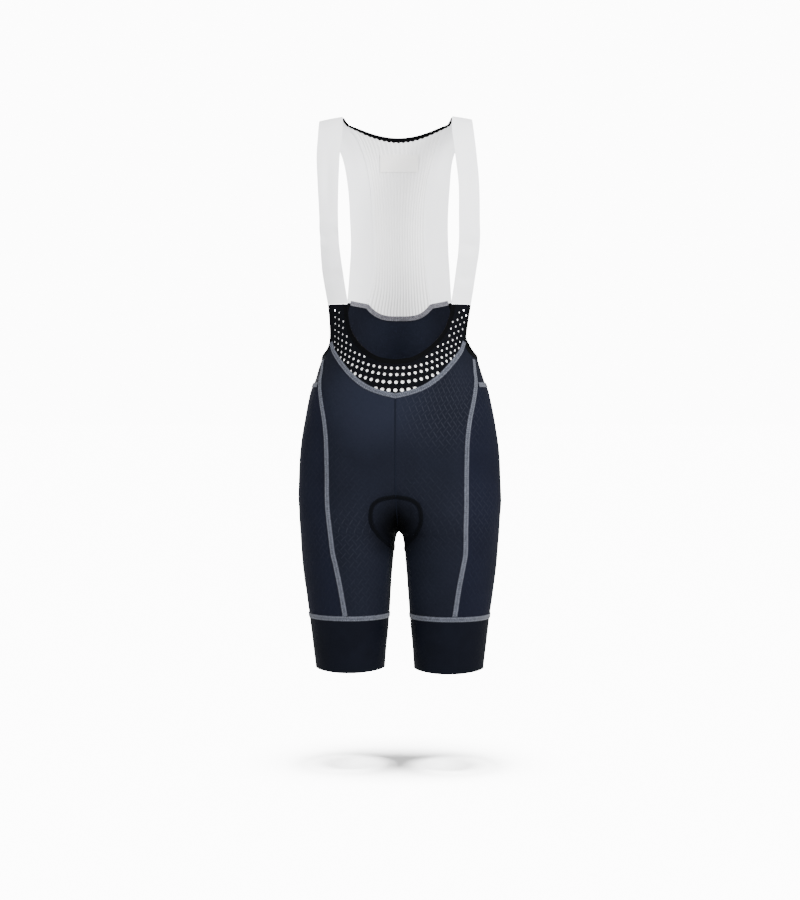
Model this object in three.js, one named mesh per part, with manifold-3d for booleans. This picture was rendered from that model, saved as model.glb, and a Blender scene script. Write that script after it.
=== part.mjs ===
// Cycling bib shorts, worn and hollow, in millimetres.
// +Z is up, the front faces -Y and the origin is between the straps, where the shoulders carry them.
// Heights on the body are given as "down", the distance below the shoulders.
import * as THREE from 'three';
import Module from 'manifold-3d';
import { mergeVertices } from 'three/addons/utils/BufferGeometryUtils.js';

const wasm = await Module();
wasm.setup();

// Driving dimensions
const HEM = 922;
const CUFF_SEAM = 834;
const CROTCH = 694;
const YOKE_SEAM = 449;
const FRONT_STRAP_BASE = 316;
const BACK_STRAP_BASE = 307;
const BACK_DIP = 27;
const BASE_DROP = 6;
const CLOTH = 1.4;
const BINDING = 2.0;
const BINDING_PROUD = 0.3;
const CUFF_CLOTH = 1.8;
const SEAM_GAP = 0.36;
const ARMHOLE_BINDING_WIDTH = 6.5;
const WAIST_BAND_WIDTH = 8;
const NECK_BINDING_STATIONS = 0.2;
const TAPE = { width: 7, lift: 0.6, thick: 0.7 };
const YOKE_TAPE_END = 3.4;
const PAD_TAPE = { width: 6.5, lift: 0.55, thick: 0.7 };
const LINING = { gap: 0.6, thick: 1.0 };
const LABEL = { gap: 0.45, thick: 0.6 };
const RIBS = { count: 20, height: 0.55 };
const PAD = { gap: 2.2, thick: 7, edge: 1.2 };
const TWIST = { turn: -4.25, top: 310, bottom: 395 };
// The front side seams lean to one side down the legs
const LEAN = { across: 5.5, top: 620, bottom: 750 };
const SPAN_FRONT = 90;
const SPAN_BACK = 130;
const DEGREE = Math.PI / 180;
// Perforations: rows on a lattice that arches up to the sides, larger in the lower middle
const DOTS = { turn: 4.2, lean: 0.47, arch: 0.00294, fade: 0.36, reach: 112, smallest: 4, margin: 1.6 };
const DOT_SIDES = 6;
// Length of one degree round the waist, used to measure lines in the unrolled cloth
const DEGREE_LENGTH = 2.27;

// Tables have named columns, and are read between their rows along a smooth curve
function table(names, rows) {
  const columns = {};
  names.forEach((name, index) => {
    columns[name] = rows.map((row) => row[index]);
  });
  return columns;
}

function slope(xs, ys, i) {
  const before = Math.max(i - 1, 0);
  const after = Math.min(i + 1, xs.length - 1);
  return (ys[after] - ys[before]) / (xs[after] - xs[before]);
}

function read(columns, key, name, at) {
  const xs = columns[key];
  const ys = columns[name];
  const last = xs.length - 1;
  const x = Math.min(Math.max(at, xs[0]), xs[last]);
  let i = 0;
  while (i < last - 1 && x > xs[i + 1]) i += 1;
  const span = xs[i + 1] - xs[i];
  const t = (x - xs[i]) / span;
  const t2 = t * t;
  const t3 = t2 * t;
  const start = (2 * t3 - 3 * t2 + 1) * ys[i] + (t3 - 2 * t2 + t) * span * slope(xs, ys, i);
  const end = (3 * t2 - 2 * t3) * ys[i + 1] + (t3 - t2) * span * slope(xs, ys, i + 1);
  return start + end;
}

// Body rings: half width and depth in front of and behind the side line
const RING = table(['down', 'halfWidth', 'front', 'back'], [
  [290, 143, 84, 80.4],
  [307, 141, 84, 80],
  [316, 139.8, 84, 79.7],
  [350, 134.2, 84.5, 78.5],
  [376, 131.2, 85, 78.5],
  [397, 130, 86, 79.5],
  [417, 134.4, 87.5, 82],
  [437, 141, 89, 86],
  [457, 148.7, 90.5, 91],
  [477, 153.7, 91.5, 97],
  [507, 159.6, 92, 106],
  [554, 167, 91, 115],
  [601, 169.7, 88.5, 118],
  [648, 170.5, 86.5, 111],
  [695, 167, 84, 97],
  [743, 163.8, 79.5, 86],
  [790, 158, 73, 80],
  [837, 151, 66.5, 75.5],
  [884, 145.3, 61, 71],
  [920, 141, 57, 68],
]);

// Above the crotch each half is part of an oval centred this far from the middle
const SPLIT = table(['down', 'centre'], [
  [470, 0],
  [500, 8],
  [544, 26],
  [594, 50],
  [634, 67],
  [674, 79.2],
  [694, 83.55],
]);

// Half the gap between the legs
const LEG_GAP = table(['down', 'half'], [
  [694, 0],
  [697, 3],
  [700, 4.6],
  [708, 6.6],
  [719, 8.4],
  [743, 10.9],
  [766, 13],
  [790, 14.5],
  [813, 16],
  [837, 17.7],
  [860, 19.3],
  [884, 21.8],
  [907, 23.5],
  [920, 24.4],
]);

// The seams from the armholes down the front of the legs, as the distance from the middle
const SIDE_FRONT = table(['down', 'across'], [
  [404, 125],
  [421, 126.8],
  [437, 128.8],
  [454, 128.8],
  [470, 126.8],
  [487, 123.9],
  [504, 120.5],
  [527, 117.6],
  [547, 116],
  [586, 115],
  [646, 114.3],
  [686, 111.4],
  [726, 108.5],
  [746, 104.4],
  [785, 97],
  [834, 89.5],
]);

// The seams behind the side panels, as the angle round the leg
const SIDE_BACK = table(['down', 'angle'], [
  [449, 122],
  [560, 127],
  [700, 138],
  [834, 150],
]);

// Armhole edge, from the front strap base round the side to the back strap base
const ARMHOLE = table(['angle', 'down'], [
  [57.8, 316],
  [58.3, 345],
  [59.8, 375],
  [65.5, 388.5],
  [75, 396],
  [87, 399.5],
  [100, 397],
  [113, 386],
  [125, 363],
  [134, 336],
  [140.6, 307],
]);

// Lower edge of the perforated front, from the middle to the side
const U_SEAM = table(['across', 'down'], [
  [0, 467.3],
  [22, 462.2],
  [44, 454.3],
  [60, 444.6],
  [75, 432],
  [88, 417.5],
  [98, 404.5],
  [106, 391.5],
]);

// Upper edge of the waist band, from the middle to the strap
const WAIST_EDGE = table(['across', 'down'], [
  [0, 407.6],
  [24.5, 404],
  [36, 399],
  [47.3, 392],
  [60.3, 380.5],
  [69.3, 369.6],
  [76.6, 358],
  [81, 345],
  [84, 331],
  [85, 316],
]);

const DOT_ROWS = table(['down', 'size'], [
  [368, 3.8],
  [378.5, 3.8],
  [389, 3.9],
  [399.8, 4],
  [410.4, 4.2],
  [421.8, 4.5],
  [432.5, 4.9],
  [444.9, 5.4],
  [457.9, 5.9],
]);

// Outline of the seat pad on a half, from its front corner under the crotch to its back corner
const PAD_SIDE = table(['angle', 'down'], [
  [-20, 645],
  [-20.7, 658],
  [-25.3, 674],
  [-35.4, 690],
  [-50.9, 704],
  [-68.7, 716],
  [-90, 724],
  [-112, 715],
  [-136.6, 700],
  [-160.8, 680],
  [-177.3, 655],
  [-186.7, 625],
]);
const PAD_FRONT = { down: 632, corner: [-25, 636.5] };
const PAD_BACK = { down: 598, corners: [[-182, 604], [-169, 599]] };
// Levels of the middle seam under the pad, forward of the crotch and behind it
const PAD_FRONT_LEVELS = [632, 648, 662, 674, 684, 690, 694];
const PAD_BACK_LEVELS = [690, 684, 674, 660, 642, 620, 598];

// Path of the straps over the shoulder at the middle of the body, with the strap edges beside it.
// rollWidth and rollDepth say how far the body falls away to the sides.
const SHOULDER = table(
  ['station', 'y', 'z', 'rollWidth', 'rollDepth', 'leftInner', 'leftOuter', 'rightInner', 'rightOuter'],
  [
    [0, -84, -316, 139.8, 84, -85, -118.4, 85, 118.4],
    [1, -91, -270, 149, 78, -92.3, -126.8, 91.8, 125.6],
    [2, -95, -220, 160, 68, -98.6, -130.2, 97, 132],
    [3, -96, -170, 167, 60, -100.4, -131.6, 97.2, 132],
    [4, -92, -120, 173, 55, -99.8, -134, 96.6, 131],
    [5, -79, -70, 182, 52, -98, -136.5, 91.6, 127.4],
    [6, -55, -25, 190, 48, -94, -135, 87, 123.5],
    [7, -27, 0.5, 190, 46, -94.5, -134.5, 87.5, 121.8],
    [8, 0, 7.5, 190, 46, -95.4, -133.9, 88.9, 120.8],
    [9, 26, 1, 190, 46, -91, -130, 86, 117.5],
    [10, 50, -23, 186, 48, -72, -113, 72, 106],
    [11, 69, -60, 178, 51, -57, -97, 58.8, 91.5],
    [12, 80, -110, 170, 56, -48, -88.5, 47.6, 86.7],
    [13, 86, -160, 163, 61, -45, -85.6, 44.1, 83.9],
    [14, 87, -210, 156, 67, -43.2, -84, 45, 84.2],
    [15, 84, -260, 149, 74, -45.5, -86.5, 49, 86.8],
    [16, 80, -307, 141, 80, -55.7, -89.5, 55.7, 89.5],
    [17, 78.5, -350, 134.2, 78.5, -60, -92, 60, 92],
  ],
);
const STRAP_STATIONS = [
  0, 0.5, 1, 2, 3, 4, 4.5, 5, 5.5, 6, 6.4, 6.8, 7.2, 7.6, 8, 8.4, 8.8, 9.2, 9.4, 9.7,
  10, 10.5, 11, 11.5, 12, 13, 14, 15, 16,
];
const LAST_STATION = 16;
const NECK = { side: 9.2, dip: 0.9 };

// Colours, from the outside of the cloth
function cloth(color, roughness) {
  return new THREE.MeshStandardMaterial({ color, roughness, metalness: 0 });
}
const WHITE = cloth(0xe6e8ee, 0.75);
const BLACK = cloth(0x0b0c12, 0.7);
const NAVY = cloth(0x1c202c, 0.65);
const GREY = cloth(0x7d828e, 0.7);
const DARK = cloth(0x12141b, 0.7);

// The body surface
function smooth(t) {
  const inside = Math.min(Math.max(t, 0), 1);
  return inside * inside * (3 - 2 * inside);
}

function twisted(x, y, z) {
  const turn = TWIST.turn * DEGREE * smooth((-z - TWIST.top) / (TWIST.bottom - TWIST.top));
  return new THREE.Vector3(
    x * Math.cos(turn) - y * Math.sin(turn),
    x * Math.sin(turn) + y * Math.cos(turn),
    z,
  );
}

function halfWidth(down) {
  return read(RING, 'down', 'halfWidth', down);
}

function legCentre(down) {
  if (down <= CROTCH) return Math.max(read(SPLIT, 'down', 'centre', down), 0);
  return (halfWidth(down) + read(LEG_GAP, 'down', 'half', down)) / 2;
}

// Above the crotch the cloth spans the middle, so the two ovals turn into one further up
function ringPoint(side, angle, down) {
  const centre = legCentre(down);
  const width = halfWidth(down);
  const turn = angle * DEGREE;
  const inFront = Math.cos(turn) > 0;
  const depth = read(RING, 'down', inFront ? 'front' : 'back', down);
  const across = centre + (width - centre) * Math.sin(turn);
  const spanned = smooth((CROTCH - down) / (inFront ? SPAN_FRONT : SPAN_BACK));
  const single = Math.sqrt(Math.max(1 - (across / width) ** 2, 0)) * Math.sign(Math.cos(turn));
  return twisted(side * across, -depth * mix(Math.cos(turn), single, spanned), -down);
}

// Angle on a half where it stands this far from the middle, on its front
function angleAcross(across, down) {
  const centre = legCentre(down);
  const share = (across - centre) / (halfWidth(down) - centre);
  return Math.asin(Math.min(Math.max(share, -1), 1)) / DEGREE;
}

const frontMiddle = (down) => (down >= CROTCH ? -90 : angleAcross(0, down));
const backMiddle = (down) => 180 - frontMiddle(down);
function sideFront(down, side = 0) {
  const lean = LEAN.across * smooth((down - LEAN.top) / (LEAN.bottom - LEAN.top));
  return angleAcross(read(SIDE_FRONT, 'down', 'across', down) + side * lean, down);
}
const sideBack = (down) => read(SIDE_BACK, 'down', 'angle', down);

// Surfaces give a point for two coordinates, a point on their inner side, and steps for the normal
const half = (side) => ({
  point: (angle, down) => ringPoint(side, angle, down),
  core: (angle, down) => twisted(side * legCentre(down), 0, -down),
  step: [0.5, 0.5],
});
const torso = half(1);

function profile(station) {
  const at = (name, place) => read(SHOULDER, 'station', name, place);
  const step = 0.02;
  const middle = Math.max(station, step);
  const alongY = at('y', middle + step) - at('y', middle - step);
  const alongZ = at('z', middle + step) - at('z', middle - step);
  const level = smooth(station / 1.5) * smooth((LAST_STATION - station) / 2);
  const out = new THREE.Vector3(0, -alongZ, alongY).normalize();
  out.z *= level;
  out.normalize();
  return { y: at('y', station), z: at('z', station), out, at: (name) => at(name, station) };
}

const shoulder = {
  point(station, x) {
    const place = profile(station);
    const share = Math.min(Math.abs(x) / place.at('rollWidth'), 0.98);
    const roll = place.at('rollDepth') * (1 - Math.sqrt(1 - share * share));
    return twisted(x, place.y - place.out.y * roll, place.z - place.out.z * roll);
  },
  core(station, x) {
    return this.point(station, x).addScaledVector(profile(station).out, -10);
  },
  step: [0.02, 0.5],
};

function normalAt(surface, p, q) {
  const [dp, dq] = surface.step;
  const along = surface.point(p + dp, q).sub(surface.point(p - dp, q));
  const across = surface.point(p, q + dq).sub(surface.point(p, q - dq));
  const normal = along.cross(across).normalize();
  const outward = surface.point(p, q).sub(surface.core(p, q));
  return normal.dot(outward) < 0 ? normal.negate() : normal;
}

function cell(surface, p, q, extra = {}) {
  return { point: surface.point(p, q), normal: normalAt(surface, p, q), ...extra };
}

function lay(surface, rows) {
  return rows.map((row) => row.map(([p, q]) => cell(surface, p, q)));
}

// Closed solids from points
function solid(points, triangles) {
  let volume = 0;
  for (const [a, b, c] of triangles) {
    volume += points[a].dot(new THREE.Vector3().crossVectors(points[b], points[c]));
  }
  const facing = volume < 0 ? triangles.map(([a, b, c]) => [a, c, b]) : triangles;
  const geometry = new THREE.BufferGeometry();
  const positions = points.flatMap((point) => point.toArray());
  geometry.setAttribute('position', new THREE.Float32BufferAttribute(positions, 3));
  geometry.setIndex(facing.flat());
  geometry.computeVertexNormals();
  return geometry;
}

// Each edge of a sheet stands back by half a seam gap
function insetEdges(cells, closed) {
  const moved = cells.map((row) => row.map(({ point }) => point.clone()));
  const lastRow = cells.length - 1;
  const lastColumn = cells[0].length - 1;
  const pull = (i, j, towardI, towardJ) => {
    const way = cells[towardI][towardJ].point.clone().sub(cells[i][j].point).normalize();
    moved[i][j].addScaledVector(way, SEAM_GAP / 2);
  };
  for (let j = 0; j <= lastColumn; j += 1) {
    pull(0, j, 1, j);
    pull(lastRow, j, lastRow - 1, j);
  }
  for (let i = 0; i <= lastRow && !closed; i += 1) {
    pull(i, 0, i, 1);
    pull(i, lastColumn, i, lastColumn - 1);
  }
  return moved;
}

// A wall of cloth under a sheet of cells. lift moves it out from the sheet, thick goes inwards from there.
function wall(cells, { thick = CLOTH, lift = 0, closed = false } = {}) {
  const outer = insetEdges(cells, closed);
  const rows = cells.length;
  const columns = cells[0].length;
  const points = [];
  const place = (i, j, depth) => {
    const { normal } = cells[i][j];
    points.push(outer[i][j].clone().addScaledVector(normal, depth));
  };
  for (let i = 0; i < rows; i += 1) {
    for (let j = 0; j < columns; j += 1) place(i, j, lift + (cells[i][j].rise ?? 0));
  }
  for (let i = 0; i < rows; i += 1) {
    for (let j = 0; j < columns; j += 1) place(i, j, lift - (cells[i][j].thick ?? thick));
  }
  const under = rows * columns;
  const triangles = [];
  const quad = (a, b, c, d) => triangles.push([a, b, c], [a, c, d]);
  const at = (i, j) => i * columns + (j % columns);
  const lastColumn = closed ? columns : columns - 1;
  for (let i = 0; i < rows - 1; i += 1) {
    for (let j = 0; j < lastColumn; j += 1) {
      const corners = [at(i, j), at(i, j + 1), at(i + 1, j + 1), at(i + 1, j)];
      quad(...corners);
      quad(...corners.map((corner) => corner + under).reverse());
    }
  }
  const edge = (a, b) => quad(b, a, a + under, b + under);
  for (let j = 0; j < lastColumn; j += 1) {
    edge(at(0, j), at(0, j + 1));
    edge(at(rows - 1, j + 1), at(rows - 1, j));
  }
  for (let i = 0; i < rows - 1 && !closed; i += 1) {
    edge(at(i, lastColumn), at(i + 1, lastColumn));
    edge(at(i + 1, 0), at(i, 0));
  }
  return solid(points, triangles);
}

// A flat tape along a line of cells
function tape(cells, { width, lift, thick }, closed = false) {
  const count = cells.length;
  const neighbour = (i) => cells[closed ? (i + count) % count : Math.min(Math.max(i, 0), count - 1)];
  const points = cells.flatMap(({ point, normal }, i) => {
    const along = neighbour(i + 1).point.clone().sub(neighbour(i - 1).point).normalize();
    const side = along.cross(normal).normalize().multiplyScalar(width / 2);
    const corner = (sign, depth) => point.clone().addScaledVector(side, sign)
      .addScaledVector(normal, depth);
    return [corner(-1, lift), corner(1, lift), corner(1, lift + thick), corner(-1, lift + thick)];
  });
  const triangles = [];
  const lengths = closed ? count : count - 1;
  for (let i = 0; i < lengths; i += 1) {
    const here = 4 * i;
    const next = 4 * ((i + 1) % count);
    for (let k = 0; k < 4; k += 1) {
      const after = (k + 1) % 4;
      triangles.push([here + k, next + k, next + after], [here + k, next + after, here + after]);
    }
  }
  if (!closed) {
    const end = 4 * (count - 1);
    triangles.push([0, 1, 2], [0, 2, 3], [end, end + 2, end + 1], [end, end + 3, end + 2]);
  }
  return solid(points, triangles);
}

// Lines in the unrolled cloth
function spaced(points, cells) {
  const flat = points.map(([angle, down]) => new THREE.Vector3(angle * DEGREE_LENGTH, down, 0));
  const curve = new THREE.CatmullRomCurve3(flat, false, 'centripetal');
  curve.arcLengthDivisions = 800;
  return curve.getSpacedPoints(cells).map(({ x, y }) => [x / DEGREE_LENGTH, y]);
}

// A line this far beside another, on the right hand of its way
function beside(line, distance) {
  return line.map(([angle, down], i) => {
    const before = line[Math.max(i - 1, 0)];
    const after = line[Math.min(i + 1, line.length - 1)];
    const alongAngle = (after[0] - before[0]) * DEGREE_LENGTH;
    const alongDown = after[1] - before[1];
    const length = Math.hypot(alongAngle, alongDown);
    return [
      angle - (distance * alongDown) / length / DEGREE_LENGTH,
      down + (distance * alongAngle) / length,
    ];
  });
}

function rowsOf(columns, first, second) {
  return columns[first].map((value, i) => [value, columns[second][i]]);
}

const acrossToAngle = ([across, down]) => [angleAcross(across, down), down];
const mix = (a, b, t) => a + (b - a) * t;
const between = (a, b, t) => [mix(a[0], b[0], t), mix(a[1], b[1], t)];
const mirrorLeft = ([angle, down]) => [-angle, down];
const steps = (first, last, cells) => (
  Array.from({ length: cells + 1 }, (_, i) => mix(first, last, i / cells))
);

// The back straps' bases fall towards the middle, where the back panel dips below them
const backEdge = SHOULDER.rightInner[16];
const backOuter = SHOULDER.rightOuter[16];
const DIP_SHARES = [1, 0.86, 0.68, 0.4, 0];
const dipAt = (share) => (
  BACK_STRAP_BASE + BASE_DROP + (BACK_DIP - BASE_DROP) * (1 - share ** 3.4)
);
const strapBaseAt = (across) => (
  mix(dipAt(1), BACK_STRAP_BASE, (across - backEdge) / (backOuter - backEdge))
);

// Seam lines on a half, in angle and down
const DENSE = 240;
const armholeEdge = spaced(rowsOf(ARMHOLE, 'angle', 'down'), DENSE);
const armholeSeam = beside(armholeEdge, ARMHOLE_BINDING_WIDTH);
armholeSeam[0][1] = FRONT_STRAP_BASE;
armholeSeam[DENSE][1] = strapBaseAt(halfWidth(BACK_STRAP_BASE) * Math.sin(armholeSeam[DENSE][0] * DEGREE));
const CORNER_DOWN = 377;
const SIDE_SEAM_TOP = 404;
const cornerMark = armholeSeam.findIndex(([, down]) => down >= CORNER_DOWN);
const sideMark = armholeSeam.findIndex(([angle]) => angle >= sideFront(SIDE_SEAM_TOP));

function marks(first, last, cells) {
  return Array.from({ length: cells + 1 }, (_, i) => Math.round(mix(first, last, i / cells)));
}
const frontMarks = marks(0, cornerMark, 4);
const sideMarks = marks(cornerMark, sideMark, 3);
const backMarks = marks(sideMark, DENSE, 6);
const armholeMarks = [...frontMarks, ...sideMarks.slice(1), ...backMarks.slice(1)];
const take = (line, places) => places.map((place) => line[place]);

const uSeam = spaced(
  [...rowsOf(U_SEAM, 'across', 'down').map(acrossToAngle), armholeSeam[cornerMark]],
  8,
);
const waistEdge = spaced(rowsOf(WAIST_EDGE, 'across', 'down').map(acrossToAngle), DENSE);
const waistSeam = beside(waistEdge, WAIST_BAND_WIDTH);
waistSeam[0][0] = 0;
waistSeam[DENSE][1] = FRONT_STRAP_BASE;
const crescentOuter = [...uSeam, ...take(armholeSeam, frontMarks).reverse().slice(1)];
const waistMarks = marks(0, DENSE, crescentOuter.length - 1);
const crescentInner = take(waistSeam, waistMarks);

const dip = DIP_SHARES.map((share) => {
  const down = dipAt(share);
  return [180 - angleAcross(share * backEdge, down), down];
});
const strapBase = [1, 2].map((i) => between(armholeSeam[DENSE], dip[0], i / 2));
const yokeTop = [...take(armholeSeam, backMarks), ...strapBase, ...dip.slice(1)];

const SIDE_CELLS = 4;
const BACK_CELLS = 8;
const sideRow = Array.from({ length: SIDE_CELLS + 1 }, (_, i) => [
  mix(sideFront(YOKE_SEAM), sideBack(YOKE_SEAM), i / SIDE_CELLS), YOKE_SEAM,
]);
const backRow = Array.from({ length: BACK_CELLS + 1 }, (_, i) => [
  mix(sideBack(YOKE_SEAM), backMiddle(YOKE_SEAM), i / BACK_CELLS), YOKE_SEAM,
]);
const yokeBottom = [...sideRow, ...backRow.slice(1)];
const frontTop = [...uSeam, ...take(armholeSeam, sideMarks).slice(1)];

// Rows that run right across the front or the back, from the left half's line and the right half's
const acrossFront = (row) => [...row.slice(1).reverse().map(mirrorLeft), ...row];
const acrossBack = (row) => [
  ...row.map(mirrorLeft),
  ...row.slice(0, -1).reverse().map(([angle, down]) => [angle - 360, down]),
];
const ruled = (first, last, cells) => Array.from({ length: cells + 1 }, (_, i) => (
  first.map((point, j) => between(point, last[j], i / cells))
));

// The exported group and its pieces
const shorts = new THREE.Group();
shorts.name = 'bib_shorts';

function add(name, geometry, material) {
  const mesh = new THREE.Mesh(geometry, material);
  mesh.name = name;
  shorts.add(mesh);
}

const SIDES = [['left', -1], ['right', 1]];
const JOIN = 580;
const YOKE_ROWS = 5;
const HIP_ROWS = 4;
const LEVELS = [605, 630, 650, 666, 678, 686, 691, 694, 697, 701, 708, 720, 738, 765, 800, 834];

// Rows of a leg panel. The front starts at its curved top, and all are level below JOIN.
function legPanelRows(top, first, last, hipLine) {
  const shares = top.map(([angle, down]) => (angle - first(down)) / (last(down) - first(down)));
  const at = (down, j) => [mix(first(down), last(down), shares[j]), down];
  const above = hipLine ? steps(0, 1, YOKE_ROWS).slice(0, -1).map((t) => (
    top.map(([, down], j) => at(mix(down, hipLine(shares[j]), t), j))
  )) : [];
  const hip = steps(0, 1, HIP_ROWS).map((t) => (
    top.map(([, down], j) => at(mix(hipLine ? hipLine(shares[j]) : down, JOIN, t), j))
  ));
  return [...above, ...hip, ...LEVELS.map((down) => top.map((_, j) => at(down, j)))];
}

const FRONT_HIP = 490;
const hipLine = (share) => mix(FRONT_HIP, YOKE_SEAM, share);
const backRows = legPanelRows(backRow, sideBack, backMiddle);
const lastOf = (rows) => rows[rows.length - 1];

function legRows(side) {
  const seam = (down) => sideFront(down, side);
  const front = legPanelRows(frontTop, frontMiddle, seam, hipLine);
  const outer = legPanelRows(sideRow, seam, sideBack);
  const cuffTop = [...lastOf(front), ...lastOf(outer).slice(1), ...lastOf(backRows).slice(1, -1)];
  return { front, outer, cuffTop };
}
const CUFF_LEVELS = [CUFF_SEAM, 862, 892, HEM];

function legs() {
  for (const [name, side] of SIDES) {
    const { front, outer, cuffTop } = legRows(side);
    add(`front_${name}`, wall(lay(half(side), front)), NAVY);
    add(`side_${name}`, wall(lay(half(side), outer)), NAVY);
    add(`back_${name}`, wall(lay(half(side), backRows)), NAVY);
    const cuff = CUFF_LEVELS.map((down) => cuffTop.map(([angle]) => [angle, down]));
    const cuffShape = { thick: CUFF_CLOTH, lift: 0.2, closed: true };
    add(`cuff_${name}`, wall(lay(half(side), cuff), cuffShape), BLACK);
  }
}

function waist() {
  const yoke = ruled(yokeTop, yokeBottom, YOKE_ROWS).map((row) => {
    const down = row[0][1];
    return acrossBack([[sideFront(down), down], ...row.slice(1)]);
  });
  add('back_yoke', wall(lay(torso, yoke)), NAVY);
  const bound = { thick: BINDING, lift: BINDING_PROUD };
  const band = [take(waistEdge, waistMarks), crescentInner].map(acrossFront);
  add('waist_band', wall(lay(torso, band), bound), BLACK);
  for (const [name, side] of SIDES) {
    const binding = [take(armholeEdge, armholeMarks), take(armholeSeam, armholeMarks)];
    add(`armhole_binding_${name}`, wall(lay(half(side), binding), bound), BLACK);
  }
}

// The perforated front
const crescentRows = ruled(acrossFront(crescentInner), acrossFront(crescentOuter), 5);
const unrolled = ([angle, down]) => new THREE.Vector2(angle * DEGREE_LENGTH, down);
const crescentOutline = [
  ...acrossFront(crescentInner).map(unrolled),
  ...acrossFront(crescentOuter).map(unrolled).reverse(),
];

function edgeDistance(point, outline) {
  let nearest = Infinity;
  let inside = false;
  outline.forEach((a, i) => {
    const b = outline[(i + 1) % outline.length];
    const way = b.clone().sub(a);
    const share = Math.min(Math.max(point.clone().sub(a).dot(way) / way.lengthSq(), 0), 1);
    nearest = Math.min(nearest, point.distanceTo(a.clone().addScaledVector(way, share)));
    const crosses = (a.y > point.y) !== (b.y > point.y);
    if (crosses && point.x < a.x + (way.x * (point.y - a.y)) / way.y) inside = !inside;
  });
  return inside ? nearest : -nearest;
}

function perforations() {
  const found = [];
  const rows = DOT_ROWS.down.length;
  for (let row = 0; row < rows; row += 1) {
    const lean = DOTS.lean * (rows - 1 - row);
    for (let column = -14; column <= 14; column += 1) {
      const angle = column * DOTS.turn + lean;
      const across = halfWidth(DOT_ROWS.down[row]) * Math.sin(angle * DEGREE);
      const down = DOT_ROWS.down[row] - DOTS.arch * across * across;
      const size = DOT_ROWS.size[row] * (1 - DOTS.fade * (across / DOTS.reach) ** 2);
      const room = edgeDistance(unrolled([angle, down]), crescentOutline) - size / 2;
      if (size >= DOTS.smallest && room > DOTS.margin) found.push({ angle, down, size });
    }
  }
  return found;
}

function prism({ angle, down, size }) {
  const { point, normal } = cell(torso, angle, down);
  const side = new THREE.Vector3(0, 0, 1).cross(normal).normalize();
  const up = normal.clone().cross(side);
  const points = [];
  for (const depth of [CLOTH, -2 * CLOTH]) {
    for (let k = 0; k < DOT_SIDES; k += 1) {
      const turn = (2 * Math.PI * k) / DOT_SIDES;
      const corner = point.clone().addScaledVector(normal, depth);
      corner.addScaledVector(side, (size / 2) * Math.cos(turn));
      points.push(corner.addScaledVector(up, (size / 2) * Math.sin(turn)));
    }
  }
  const triangles = [];
  for (let k = 0; k < DOT_SIDES; k += 1) {
    const next = (k + 1) % DOT_SIDES;
    triangles.push([k, next, next + DOT_SIDES], [k, next + DOT_SIDES, k + DOT_SIDES]);
    if (k > 0 && k < DOT_SIDES - 1) {
      triangles.push([0, next, k], [DOT_SIDES, DOT_SIDES + k, DOT_SIDES + next]);
    }
  }
  return solid(points, triangles);
}

function manifoldOf(geometry) {
  const bare = geometry.clone();
  bare.deleteAttribute('normal');
  const merged = mergeVertices(bare, 1e-4);
  return new wasm.Manifold(new wasm.Mesh({
    numProp: 3,
    vertProperties: new Float32Array(merged.attributes.position.array),
    triVerts: new Uint32Array(merged.index.array),
  }));
}

function geometryOf(manifold) {
  const { vertProperties, triVerts } = manifold.getMesh();
  const geometry = new THREE.BufferGeometry();
  geometry.setAttribute('position', new THREE.Float32BufferAttribute(vertProperties, 3));
  geometry.setIndex(Array.from(triVerts));
  geometry.computeVertexNormals();
  return geometry;
}

function perforatedFront() {
  let crescent = manifoldOf(wall(lay(torso, crescentRows)));
  for (const hole of perforations()) crescent = crescent.subtract(manifoldOf(prism(hole)));
  add('waist_front', geometryOf(crescent), BLACK);
  const inner = acrossFront(crescentInner);
  const outer = acrossFront(crescentOuter);
  const margin = 0.06;
  const ends = [margin, 1 - margin].map((t) => inner.map((point, j) => between(point, outer[j], t)));
  const lining = lay(torso, ruled(ends[0], ends[1], 4));
  const shape = { thick: LINING.thick, lift: -CLOTH - LINING.gap };
  add('waist_lining', wall(lining.map((row) => row.slice(1, -1)), shape), WHITE);
}

// The straps and the ribbed back
const STRAP_CELLS = 3;
const edgeAt = (name, station) => read(SHOULDER, 'station', name, station);

// Station on the back where the middle line is this low
function backStation(down) {
  let low = 15;
  let high = 17;
  for (let i = 0; i < 30; i += 1) {
    const middle = (low + high) / 2;
    if (-edgeAt('z', middle) < down) low = middle;
    else high = middle;
  }
  return low;
}

function ribBottom(share) {
  const last = DIP_SHARES.findIndex((value) => value <= Math.abs(share));
  if (last <= 0) return backStation(dipAt(Math.abs(share)));
  const [a, b] = [DIP_SHARES[last - 1], DIP_SHARES[last]];
  return backStation(mix(dipAt(b), dipAt(a), (Math.abs(share) - b) / (a - b)));
}

// Behind the neck the rows spread evenly from the top of the back to its bottom
const BACK_FIRST = NECK.side + NECK_BINDING_STATIONS;
const backLevel = (top, bottom, station) => (
  mix(top, bottom, (station - BACK_FIRST) / (LAST_STATION - BACK_FIRST))
);

function straps() {
  for (const name of ['left', 'right']) {
    const rows = STRAP_STATIONS.map((station) => Array.from({ length: STRAP_CELLS + 1 }, (_, k) => {
      const share = k / STRAP_CELLS;
      const base = backStation(strapBaseAt(mix(backEdge, backOuter, share)));
      const level = station > BACK_FIRST ? backLevel(BACK_FIRST, base, station) : station;
      return [level, mix(edgeAt(`${name}Inner`, station), edgeAt(`${name}Outer`, station), share)];
    }));
    add(`strap_${name}`, wall(lay(shoulder, rows)), WHITE);
  }
}

const neckDip = (share) => NECK.dip * (1 - share * share);

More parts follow.
